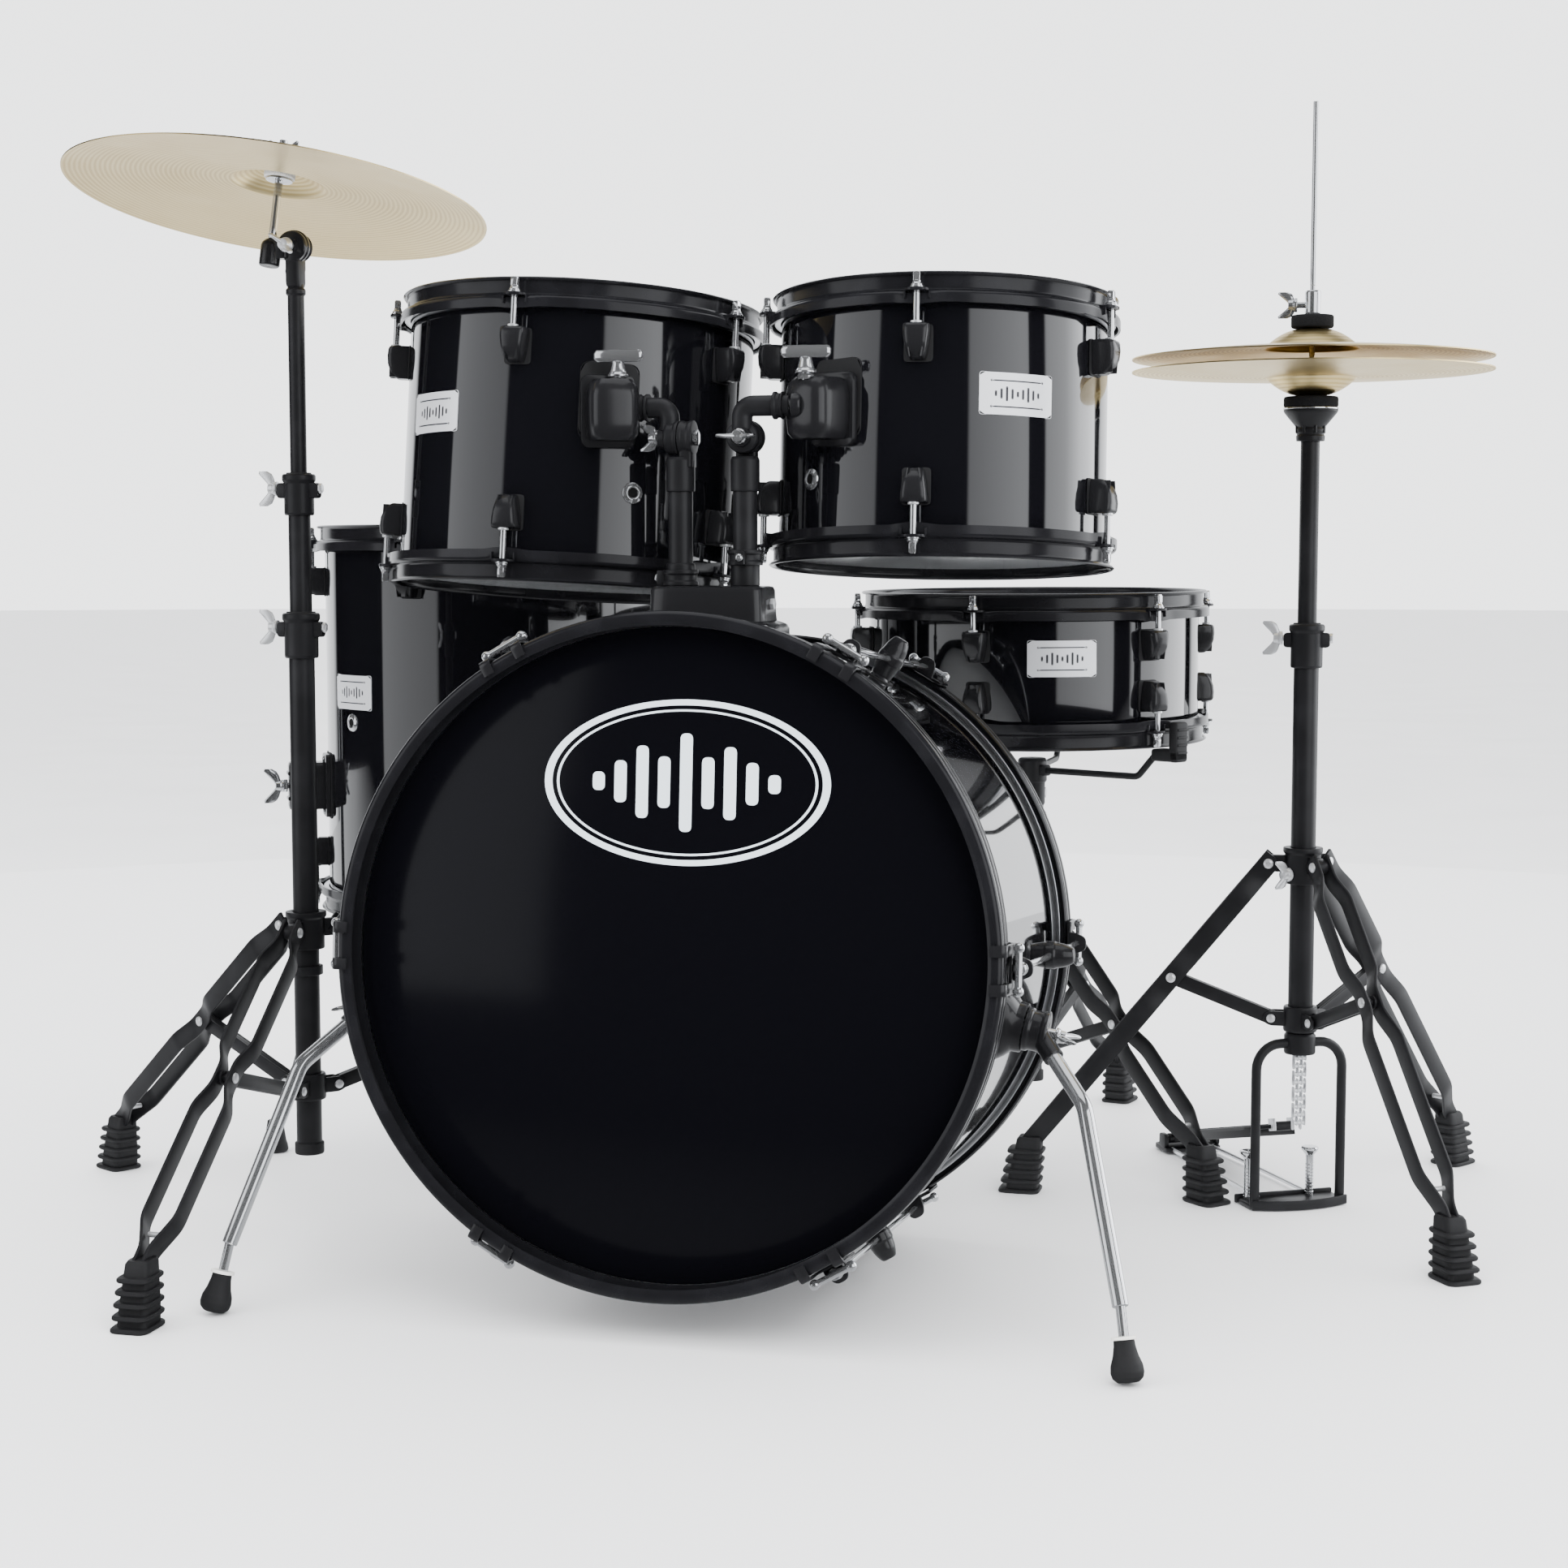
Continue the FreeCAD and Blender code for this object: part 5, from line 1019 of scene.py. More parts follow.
def make_snare_fittings():
    """The strainer with its lever, the butt plate and the coiled wires."""
    r, e = SNARE.radius, SNARE.depth / 2
    place = drum_place(SNARE) @ turn_z(STRAINER_ANGLE)
    across = drum_place(SNARE) @ turn_z(STRAINER_ANGLE + 180)
    housing = placed(ovals(5, 40, (5.2, 12, -39), (5.6, 13, -36), (5.6, 13, 22), (5.0, 12, 27)),
            at((r + 4.6, 0, 0)))
    for y in (-9, 9):
        ear = prism(tile(9, 9, 6, 5), 4, 0.6)
        housing.join(ear, at((r + 14, y + 2, -20), -Y_AXIS, X_AXIS))
    piece("snare_strainer_housing", housing, "snare", CHROME, place, ["snare_strainer"])
    knob = placed(lathe([(0, 0), (7, 0), (7, 11), (5.5, 13), (0, 13)], 36, 0.8), at((r + 8, 0, 26.7)))
    for k in range(18):
        knob.join(rbox(1.2, 1.0, 9, 0.3), at((r + 8, 0, 32.5)) @ turn_z(20 * k) @ at((7, 0, 0)))
    knob.join(rod(2.2, 25, 0.3), at((r + 16.5, 12.5, -20), -Y_AXIS))
    for z in (-33, 18):
        knob.join(screw_head(3.2, 2), at((r + 9.9, 0, z), X_AXIS))
    piece("snare_strainer_knob", knob, "snare", STEEL, place)
    lever = Shape()
    rings = [oval(2.0, 6.4, z, 4, 30) for z in (-22, -6, 22)] + [oval(2.2, 7.2, 28, 4, 30)]
    lever.join(loft(rings), at((r + 18, 0, 0)))
    lever.join(rod(5.5, 13, 0.6, 32, 2.5), at((r + 16.5, 6.5, -20), -Y_AXIS))
    lever.join(rbox(8.5, 13.6, 4, 1.6), at((r + 20.6, 0, 30)))
    piece("snare_lever_blade", lever, "snare_lever", CHROME, place, ["snare_strainer_lever"])
    butt = placed(ovals(5, 40, (4.4, 17, -50), (4.6, 17.5, -47), (4.6, 17.5, -29), (4.0, 16.5, -26)),
            at((r + 4, 0, 0)))
    for y in (-10, 10):
        butt.join(screw_head(3.4, 2), at((r + 8.2, y, -38), X_AXIS))
    piece("snare_butt_plate", butt, "snare", CHROME, across)
    wires = Shape()
    level = -e - 0.4 - 0.3 - 0.9
    half = r - 34
    for i in range(20):
        y = (i - 9.5) * 2.1
        coil = []
        turns = 46
        for k in range(turns * 4 + 1):
            a = math.tau * k / 4
            coil.append((-half + 2 * half * k / (turns * 4), y + 0.55 * math.cos(a),
                    level + 0.55 * math.sin(a)))
        wires.join(tube(coil, 0.25, 1, 4))
    for side in (-1, 1):
        wires.join(rbox(12, 44, 1.6, 0.5), at((side * (half + 5), 0, level)))
    piece("snare_wire_coils", wires, "snare_wire_strip", STEEL, place, ["snare_wires"], "steel_wire")
    straps = Shape()
    for side in (-1, 1):
        straps.join(rbox(30, 18, 0.7, 0.2), at((side * (half + 25.5), 0, level)))
    piece("snare_wire_straps", straps, "snare_wire_strip", CLEAR_FILM, place)


# ---- tripods and stands --------------------
HIHAT, CRASH, SNARE_STAND = Vector((503, 593, 0)), Vector((-448, 275, 0)), Vector((198, 788, 0))
PEDAL_ANGLE = 120.0
Tripod = namedtuple("Tripod", "centre angles tube pivot_out pivot_z rivet_z brace_out brace_z foot_out")
HIHAT_TRIPOD = Tripod(HIHAT, (180.0, -57.0, 57.0), 12.5, 34.0, 355.0, 234.0, 29.0, 196.0, 285.0)
CRASH_TRIPOD = Tripod(CRASH, (150.0, 270.0, 44.0), 12.5, 34.0, 300.0, 185.0, 29.0, 142.0, 355.0)
SNARE_TRIPOD = Tripod(SNARE_STAND, (-43.0, 77.0, 197.0), 11.0, 32.0, 262.0, 165.0, 27.0, 122.0, 290.0)
ANKLE_Z, PINCH, BULGE, EAR = 52.0, 7.0, 16.0, 9.6
STRAP = (3.0, 20.0)


def leg_points(t):
    """The pivot, the middle rivet and the ankle of a leg as (outward, height)."""
    ankle = (t.foot_out - 8, ANKLE_Z)
    share = (t.pivot_z - t.rivet_z) / (t.pivot_z - ankle[1])
    return (t.pivot_out, t.pivot_z), (t.pivot_out + (ankle[0] - t.pivot_out) * share, t.rivet_z), ankle


def leg_frame(t, angle, start, end):
    """X runs from start to end in the leg's upright plane, Y is sideways and Z completes the strap's width."""
    drop = math.atan2(start[1] - end[1], end[0] - start[0])
    return (at(t.centre) @ turn_z(angle) @ at((start[0], 0, start[1])) @ Matrix.Rotation(drop, 4, "Y"))


def leg_pieces(t, angle):
    """The two bowed straps, the bright rivets and the spacer at the ankle."""
    pivot, rivet, ankle = leg_points(t)
    length = math.hypot(ankle[0] - pivot[0], ankle[1] - pivot[1])
    mid = math.hypot(rivet[0] - pivot[0], rivet[1] - pivot[1])
    line = [(-9, PINCH), (18, PINCH), (38, BULGE), (mid - 34, BULGE), (mid - 14, PINCH), (mid + 14, PINCH),
            (mid + 38, BULGE), (length - 48, BULGE), (length - 16, PINCH - 2.6), (length + 6, PINCH - 2.6)]
    outline = ribbon(soften(line, 7, 4, False), STRAP[0])
    strap = placed(prism(outline, STRAP[1], 0.7), at((0, 0, -STRAP[1] / 2)))
    place = leg_frame(t, angle, pivot, ankle)
    straps = placed(strap, place).join(strap, place @ MIRROR_Y)
    rivets = Shape()
    for x in (0, mid):
        for side in (1, -1):
            head = lathe([(0, 0), (5.2, 0), (4.8, 1.6), (2.6, 2.8), (0, 3.0)], 28, 0.3)
            rivets.join(head, place @ at((x, side * (PINCH + 1.5), 0), (0, side, 0)))
    rivets.join(placed(rod(2.6, 2 * PINCH, 0.2), at((length - 34, -PINCH, 0), Y_AXIS)), place)
    return straps, rivets


def boot_shape(t, angle):
    """A ribbed rubber boot with a rounded neck, standing on the floor."""
    boot = ovals(5, 44, (16, 14, 0), (17, 15, 1.5), (16.2, 14.4, 20), (14.2, 12.4, 44), (13.4, 11.4, 56),
            (11.5, 9.5, 59))
    for i in range(5):
        z = 10.5 * i
        shrink = 7.5 * z / 58 / 2
        x, y = 22 - shrink, 18.5 - shrink
        rib = loft([oval(x - 1, y - 1, z, 5, 44, 2), oval(x, y, z + 1.2, 5, 44, 2), oval(x, y, z + 3.0, 5, 44,
                2), oval(x - 1.2, y - 1.2, z + 4.2, 5, 44, 2)])
        boot.join(rib)
    lean = Matrix.Shear("XY", 4, (-0.15, 0.0))
    place = at(t.centre) @ turn_z(angle) @ at((t.foot_out, 0, 0))
    return placed(boot, place @ lean)


def brace_pieces(t, angle):
    rivet = leg_points(t)[1]
    start = (t.brace_out, t.brace_z)
    length = math.hypot(rivet[0] - start[0], rivet[1] - start[1])
    outline = [(0, -7)] + [(length, -7)] + [(length + 7 * math.sin(math.pi * k / 10),
            -7 * math.cos(math.pi * k / 10)) for k in range(1, 10)] + [(length, 7), (0, 7)]
    outline += [(-7 * math.sin(math.pi * k / 10), 7 * math.cos(math.pi * k / 10)) for k in range(1, 10)]
    place = leg_frame(t, angle, start, rivet)
    bar = Shape()
    for y in (EAR / 2, -EAR / 2 + 2.6):
        bar.join(prism(outline, 2.6, 0.5), place @ at((0, y, 0), (0, -1, 0), X_AXIS))
    web = rbox(length - 10, EAR - 0.6, 2.4, 0.5)
    bar.join(web, place @ at((length / 2, 0, 5.6)))
    pins = Shape()
    for x in (0, length):
        pins.join(rod(3.2, EAR, 0.2), place @ at((x, -EAR / 2, 0), Y_AXIS))
    return bar.join(pins)


def hub_pieces(t):
    """The ring that the legs hang from, with its ears and bright pins."""
    body = lathe([(t.tube + 0.5, -20), (18, -20), (18, 10), (20, 12), (20, 17), (t.tube + 0.5, 17)], 56, 1.0)
    body = placed(body, at((0, 0, t.pivot_z)))
    pins = Shape()
    for angle in t.angles:
        turn = turn_z(angle)
        ear = soften([(12, -8.5), (t.pivot_out, -8.5), (t.pivot_out + 8.5, -4), (t.pivot_out + 8.5, 4),
                (t.pivot_out, 8.5), (12, 8.5)], 6, 5)
        body.join(prism(ear, EAR, 0.6), turn @ at((0, EAR / 2, t.pivot_z), (0, -1, 0), X_AXIS))
        reach = PINCH + STRAP[0] / 2 + 0.3
        pins.join(rod(3, 2 * reach, 0.2), turn @ at((t.pivot_out, -reach, t.pivot_z), Y_AXIS))
    return placed(body, at(t.centre)), placed(pins, at(t.centre))


def collar_pieces(t):
    body = lathe([(t.tube, -13), (16.5, -13), (17.2, -11), (17.2, 11), (16.5, 13), (t.tube, 13)], 52, 0.8)
    body = placed(body, at((0, 0, t.brace_z)))
    pins = Shape()
    inside = EAR / 2 + 0.3
    for angle in t.angles:
        turn = turn_z(angle)
        for y in (inside + 2.8, -inside):
            ear = soften([(8, -7.5), (t.brace_out + 1, -7.5), (t.brace_out + 8, -3.5), (t.brace_out + 8, 3.5),
                    (t.brace_out + 1, 7.5), (8, 7.5)], 5, 5)
            body.join(prism(ear, 2.8, 0.5), turn @ at((0, y, t.brace_z), (0, -1, 0), X_AXIS))
        for side in (1, -1):
            head = lathe([(0, 0), (4.6, 0), (4.2, 1.5), (2.4, 2.4), (0, 2.6)], 24, 0.3)
            pins.join(head, turn @ at((t.brace_out, side * (inside + 2.7), t.brace_z), (0, side, 0)))
    return placed(body, at(t.centre)), placed(pins, at(t.centre))


def clamp_pieces(centre, low, high, outer, inner, hand=-1):
    """A flared nylon-lined collar with a split lug, its bolt and a bright wing nut."""
    height = high - low
    sleeve = lathe([(inner, 0), (outer - 0.8, 0), (outer, 2), (outer, height - 9), (outer + 1.8, height - 6),
            (outer + 1.8, height - 1.5), (outer + 0.6, height), (inner, height)], 56, 0.8)
    black = placed(sleeve, at(centre + UP * low))
    for y in (-3.9, 3.9):
        lug = tile(outer + 7, 7.5, 4, 4)
        black.join(prism(lug, 3.4, 0.8), at(centre + Vector((0, y + 1.7, high - 16)), (0, -1, 0), X_AXIS))
    black.join(rbox(2 * outer + 8, 7, 13, 1.5), at(centre + UP * (high - 16)))
    bright = Shape()
    out = Vector((hand, 0, 0))
    bright.join(rod(3, 12, 0.3), at(centre + out * (outer + 4) + UP * (high - 14), out))
    bright.join(wing_nut(34, 0.3), at(centre + out * (outer + 8) + UP * (high - 14), out, UP))
    bright.join(hex_nut(5, 3.4), at(centre - out * (outer + 6.5) + UP * (high - 14), -out, UP))
    bush = placed(lathe([(inner, 0), (outer - 2, 0), (outer - 2.6, 1.6), (inner, 1.6)], 48, 0.3),
            at(centre + UP * (high - 0.2)))
    return black, bright, bush


def tripod_group(t, name, body, node):
    straps, rivets, boots = Shape(), Shape(), Shape()
    for angle in t.angles:
        a, b = leg_pieces(t, angle)
        straps.join(a)
        rivets.join(b)
        boots.join(boot_shape(t, angle))
        straps.join(brace_pieces(t, angle))
    piece(name + "_straps", straps, body, POWDER, None, [node])
    piece(name + "_rivets", rivets, body, STEEL)
    piece(name + "_boots", boots, body, RUBBER)


def stand_base(t, name, body, node, tube_low, tube_high, clamp, inner):
    hub, hub_pins = hub_pieces(t)
    collar, collar_pins = collar_pieces(t)
    black, bright, bush = clamp_pieces(t.centre, clamp[0], clamp[1], clamp[2], inner)
    column = placed(lathe([(t.tube - 1.2, tube_low), (t.tube, tube_low), (t.tube, tube_high),
            (t.tube - 1.2, tube_high)], 56, 0.3), at(t.centre))
    cap = placed(lathe([(0, 0), (t.tube + 1.6, 0), (t.tube + 2, 2), (t.tube + 2, 11), (t.tube, 12), (0, 12)],
            48, 0.6), at(t.centre + UP * (tube_low - 11)))
    ring = placed(rod(t.tube + 3.5, 9, 0.8, 48, t.tube), at(t.centre + UP * (t.pivot_z - 46)))
    piece(name + "_column", [column, hub, collar, black, ring], body, POWDER, None, [node])
    piece(name + "_column_fasteners", [hub_pins, collar_pins, bright], body, STEEL)
    piece(name + "_column_plastics", [cap, bush], body, RUBBER)


# ---- crash cymbal stand --------------------
CRASH_LEAN = Vector((0.065, 0.167, 0.984)).normalized()
CRASH_RIM = Vector((-466, 274, 1008))
CRASH_RADIUS = 203.0
CRASH_PIVOT = CRASH + UP * 964
CRASH_MID, CRASH_TOP = 10.8, 8.0


def cymbal_shape(radius, bell, bell_rise, bow_rise, flip=1, thickness=1.2, hole=6.0):
    """A turned cymbal about its rim's plane: a bell in the middle of a shallow bow."""
    line = [(hole, bell_rise + bow_rise)]
    steps = [i / 14 for i in range(1, 15)]
    line += [(hole + (bell - hole) * t, bow_rise + bell_rise * (1 - t ** 2.2)) for t in steps]
    line += [(bell + (radius - bell) * t, bow_rise * (1 - t ** 1.6)) for t in steps]
    return lathe([(p.x, flip * p.y) for p in ribbon(soften(line, 4, 3, False), thickness)], 224)


def make_crash():
    """The straight crash stand, its geared tilter and the cymbal."""
    tripod_group(CRASH_TRIPOD, "crash_leg", "kit_base", "crash_legs")
    stand_base(CRASH_TRIPOD, "crash", "kit_base", "crash_base_tube", 85, 570, (567, 611, 16.5), CRASH_MID + 0.3)
    black, bright, bush = clamp_pieces(CRASH, 706, 746, 14.5, CRASH_TOP + 0.3)
    column = placed(rod(CRASH_MID, 300, 0.5, 48, CRASH_TOP + 1), at(CRASH + UP * 430))
    piece("crash_middle_column", [column, black], "crash_mid", POWDER, None, ["crash_middle_tube"])
    piece("crash_middle_wing", bright, "crash_mid", STEEL)
    piece("crash_middle_bush", bush, "crash_mid", RUBBER)
    top = placed(rod(CRASH_TOP, 322, 0.5, 44), at(CRASH + UP * 600))
    top.join(lathe([(0, 0), (8.0, 0), (9.6, 2), (9.6, 6), (8, 8), (7, 14), (0, 14)], 40, 0.6),
            at(CRASH + UP * 917))
    head = ovals(4, 40, (7.0, 9.0, -16), (7.6, 10, -12), (7.6, 10, 8), (7.0, 8, 16))
    top.join(head, at(CRASH + UP * 942))
    top.join(rbox(14, 9, 22, 1.6), at(CRASH_PIVOT + Vector((0, 5.2, -12))))
    top.join(lathe([(3.6, 0), (14, 0), (14, 2.4), (13, 3.6), (13, 7), (14, 8), (14, 9.5), (3.6, 9.5)], 48, 0.5),
            at(CRASH_PIVOT + Y_AXIS * 0.4, Y_AXIS, UP))
    piece("crash_top_column", top, "crash_upper", POWDER, None, ["crash_top_tube"])
    nuts = placed(rod(3.6, 31.7, 0.3), at(CRASH_PIVOT + Y_AXIS * 12, -Y_AXIS))
    nuts.join(hex_nut(6.4, 4), at(CRASH_PIVOT + Y_AXIS * 9.6, Y_AXIS, UP))
    nuts.join(wing_nut(27, 0.2), at(CRASH_PIVOT - Y_AXIS * 20, -Y_AXIS, Vector((0.75, 0, -0.66))))
    nuts.join(screw_head(3.4, 2), at(CRASH + Vector((-8.2, 0, 746 + 195)), -X_AXIS))
    piece("crash_tilter_bolt", nuts, "crash_upper", STEEL)
    # tilting half
    tilt = placed(lathe([(3.9, 0), (16, 0), (16, 3), (15, 4.2), (15, 8), (14, 10), (8, 11), (3.9, 11)], 52,
            0.5), at(CRASH_PIVOT - Y_AXIS * 0.3, -Y_AXIS, UP))
    for k in range(24):
        tilt.join(rbox(2.2, 1.4, 1.0, 0.2), at(CRASH_PIVOT - Y_AXIS * 0.8, Y_AXIS, UP) @ turn_z(15 * k)
                @ at((14.6, 0, 0)))
    rod_foot = CRASH_RIM - CRASH_LEAN * 58
    seat = CRASH_RIM + CRASH_LEAN * 31
    block = Vector((-461, 267, 962))
    arm = ovals(5, 40, (9.4, 7.0, -10), (10, 7.5, -8), (10, 7.5, 8), (9.0, 6.6, 10))
    tilt.join(arm, at(block))
    tilt.join(lathe([(0, 0), (9.2, 0), (10, 1.5), (10, 20), (9, 23), (6, 26), (0, 26)], 40, 0.8),
            at(rod_foot - CRASH_LEAN * 6, CRASH_LEAN))
    piece("crash_tilter_arm", tilt, "crash_tilt", CASTING, None, ["crash_tilter"])
    stem = placed(rod(4, 118, 0.6), at(rod_foot, CRASH_LEAN))
    stem.join(rod(13, 2, 0.4, 36, 4.1), at(seat - CRASH_LEAN * 10.8, CRASH_LEAN))
    stem.join(wing_nut(32, 0.05), at(seat + CRASH_LEAN * 12, CRASH_LEAN))
    piece("crash_rod_and_wing", stem, "crash_tilt", CHROME)
    felts = placed(rod(15, 7.2, 1.6, 44, 4.2), at(seat - CRASH_LEAN * 8.7, CRASH_LEAN))
    piece("crash_lower_felt", felts, "crash_tilt", WHITE_FELT)
    over = placed(rod(14, 8, 1.6, 44, 4.2), at(seat + CRASH_LEAN * 1.3, CRASH_LEAN))
    piece("crash_upper_felt", over, "crash_tilt", BLACK_FELT)
    sleeve = placed(rod(5.4, 18, 0.4, 28, 4.1), at(seat - CRASH_LEAN * 6, CRASH_LEAN))
    piece("crash_sleeve", sleeve, "crash_tilt", RUBBER)
    piece("crash_cymbal_disc", cymbal_shape(CRASH_RADIUS, 46, 14, 17), "crash", CRASH_BRASS,
            at(CRASH_RIM, CRASH_LEAN, X_AXIS), ["crash_cymbal"], angle=60)


# ---- snare stand --------------------
BASKET_Z = 434.0
BASKET_PIVOT = SNARE_STAND + UP * (BASKET_Z - 30)
BASKET_ANGLES = (-32.0, 88.0, 208.0)


def make_snare_stand():
    """The snare's tripod, tilter and three-armed basket."""
    tripod_group(SNARE_TRIPOD, "snare_leg", "kit_base", "snare_stand_legs")
    stand_base(SNARE_TRIPOD, "snare_stand", "kit_base", "snare_stand_base", 90, 352, (322, 358, 14.0), 8.3)
    pivot = BASKET_PIVOT
    upper = placed(rod(8, 172, 0.5, 40), at(SNARE_STAND + UP * 210))
    upper.join(lathe([(0, 0), (9.4, 0), (10, 2), (10, 10), (8, 13), (0, 13)], 36, 0.6),
            at(SNARE_STAND + UP * 378))
    upper.join(rbox(9, 18, 24, 1.6), at(pivot + Vector((4.8, 0, -14.2))))
    upper.join(rod(13, 9, 0.8, 44, 3.5), at(pivot + X_AXIS * 0.3, X_AXIS, UP))
    piece("snare_upper_column", upper, "snare_column", POWDER, None, ["snare_stand_upper_tube"])
    bolt = placed(rod(3.5, 34, 0.3), at(pivot + X_AXIS * 10, -X_AXIS))
    bolt.join(hex_nut(6, 3.6), at(pivot + X_AXIS * 9.4, X_AXIS, UP))
    bolt.join(wing_nut(32, 0.3), at(pivot - X_AXIS * 24.3, -X_AXIS, Y_AXIS))
    piece("snare_tilter_bolt", bolt, "snare_column", CHROME)
    hub_at = Vector((SNARE.centre.x, SNARE.centre.y, BASKET_Z))
    hub = placed(rod(13, 9, 0.8, 44, 3.8), at(pivot - X_AXIS * 0.3, -X_AXIS, UP))
    hub.join(rbox(9, 50, 18, 2.0), at((pivot.x - 4.8, (pivot.y + hub_at.y) / 2 - 2, pivot.z)))
    hub.join(lathe([(0, -40), (12, -40), (14, -37), (14, -14), (16, -12), (16, 10), (14, 13), (0, 13)], 48,
            1.0), at(hub_at))
    arms, grips = Shape(), Shape()
    under = SNARE.centre.z - SNARE.depth / 2 - LIP_RISE
    out = SNARE.radius + 10
    centre = at((SNARE.centre.x, SNARE.centre.y, 0))
    for angle in BASKET_ANGLES:
        turn = centre @ turn_z(angle)
        arms.join(tube([(13, 0, BASKET_Z), (out - 42, 0, BASKET_Z + 1), (out - 18, 0, under - 9),
                (out + 4, 0, under - 9)], 3.6, 12, 18), turn)
        arms.join(rbox(12, 12, 12, 2), turn @ at((16, 0, BASKET_Z)))
        grips.join(rbox(34, 20, 13, 3.0, 3), turn @ at((out - 1, 0, under - 9.2)))
        grips.join(rbox(11, 20, 42, 3.0, 3), turn @ at((out + 10.5, 0, under + 5)))
        for z in (-6, 2, 10, 18):
            grips.join(rbox(2.0, 16, 2.4, 0.7), turn @ at((out + 16.2, 0, under + z)))
    piece("snare_basket_hub", hub, "snare", POWDER, None, ["snare_basket"])
    piece("snare_basket_arms", arms, "snare", POWDER)
    piece("snare_basket_grips", grips, "snare", RUBBER)
    piece("snare_basket_wing", placed(wing_nut(34, 0.1), at(hub_at - UP * 41, -UP)), "snare", CHROME)


# ---- hi-hat --------------------
HH_UPPER, HH_SEAT, HH_CLUTCH, HAT_RADIUS = 9.5, 790.0, 881.0, 178.0
HH_EDGES = (850.4, 863.0)    # heights of the lower and the upper cymbal's rim
FRAME_SPAN, FRAME_TOP, HEEL_OUT, HEEL_Z = 48.0, 171.0, 262.0, 16.0


def make_pedal_frame():
    """The wire frame, springs and heel plate on the floor under the hi-hat."""
    place = at(HIHAT) @ turn_z(PEDAL_ANGLE - 90)
    s, top = FRAME_SPAN, FRAME_TOP
    frame_shape = tube([(-s, 0, 4), (-s, 0, top), (s, 0, top), (s, 0, 4)], 5, 26, 24)
    bow = [(-s - 5, -6), (-s * 0.62, -15), (0, -19), (s * 0.62, -15), (s + 5, -6)]
    plate = soften(bow + [(s + 5, 33), (-s - 5, 33)], 8, 5)
    frame_shape.join(prism(plate, 5, 0.8), at((0, 0, 1)))
    rim = ribbon(soften(bow, 20, 6, False), 2.4)
    frame_shape.join(prism(rim, 10, 0.8), at((0, 0.8, 1)))
    frame_shape.join(rbox(2 * s + 14, 4, 9, 1.2), at((0, 31, 5)))
    wires = Shape()
    for x in (-30, 30):
        wires.join(tube([(x, 28, 5), (x * 0.9, HEEL_OUT - 60, 5), (x * 0.8, HEEL_OUT, 5)], 2.4, 60, 14))
    piece("hihat_frame_wires", placed(wires, place), "kit_base", STEEL)
    heel = soften([(-33, HEEL_OUT - 16), (33, HEEL_OUT - 16), (33, HEEL_OUT + 24), (-33, HEEL_OUT + 24)], 8, 5)
    frame_shape.join(prism(heel, 5, 0.8), at((0, 0, 2)))
    for x in (-31, 31):
        ear = tile(8, 8, 5, 5)
        frame_shape.join(prism(ear, 5, 0.6), at((x - 2.5, HEEL_OUT, HEEL_Z - 2), X_AXIS, UP))
    piece("hihat_pedal_frame", placed(frame_shape, place), "kit_base", POWDER)
    bright = placed(rod(2.5, 66, 0.3), at((-33, HEEL_OUT, HEEL_Z), X_AXIS))
    for x in (-s + 4, s - 22):
        bright.join(rod(4, 52, 0.4), at((x, 24, 1)))
        for k in range(9):
            bright.join(rod(4.5, 1.5, 0.5), at((x, 24, 8 + 3.6 * k)))
        bright.join(lathe([(0, 0), (4.6, 0), (8.5, 5), (8.8, 7), (7.6, 8.4), (0, 8.4)], 28, 0.5),
                at((x, 24, 48)))
    piece("hihat_frame_screws", placed(bright, place), "kit_base", CHROME)
    grip = prism(soften([(-30, HEEL_OUT - 8), (30, HEEL_OUT - 8), (30, HEEL_OUT + 21), (-30, HEEL_OUT + 21)], 6,
            5), 1.2, 0.3)
    piece("hihat_heel_grip", placed(grip, place @ at((0, 0, 7))), "kit_base", RUBBER)


def make_footboard():
    """The ribbed footboard with its hinge and toe links."""
    toe = 34.0
    run, rise = HEEL_OUT - toe, 84.0 - 12 - HEEL_Z
    length = math.hypot(run, rise)
    place = (at(HIHAT) @ turn_z(PEDAL_ANGLE) @ at((HEEL_OUT, 0, HEEL_Z)) @ turn_z(180)
            @ Matrix.Rotation(-math.atan2(rise, run), 4, "Y"))
    board = Shape()
    outline = soften([(14, -26), (length - 30, -26), (length - 4, -17), (length - 1, 0), (length - 4, 17),
            (length - 30, 26), (14, 26)], 12, 5)
    board.join(prism(outline, 4, 1.0), at((0, 0, 3)))
    for y in (-24.5, 24.5):
        board.join(rbox(length - 40, 2.6, 11, 0.8), at((length / 2 - 4, y, 1.0)))
    board.join(rod(5.5, 52, 0.6, 32, 2.8), at((0, -26, 0), Y_AXIS))
    board.join(rbox(20, 46, 5, 1.2), at((9, 0, 3)))
    board.join(rod(5, 18, 0.6), at((length, -9, 5), Y_AXIS))
    for k in range(13):
        board.join(rbox(3.2, 38 - (6 if k > 10 else 0), 1.3, 0.5), at((34 + k * 14.4, 0, 7.4)))
    piece("hihat_board", placed(board, place), "hihat_pedal", POWDER, None, ["hihat_footboard"])
    rivets = Shape()
    for x in (28, length - 30):
        for y in (-17, 17):
            rivets.join(screw_head(3.4, 1.6), at((x, y, 7)))
    rivets.join(rod(2.6, 24, 0.3), at((length, -12, 5), Y_AXIS))
    for y in (-10.5, 10.5):
        rivets.join(rbox(15, 2.2, 13, 1.0), at((length - 2, y, 7)))
    piece("hihat_board_screws", placed(rivets, place), "hihat_pedal", STEEL)


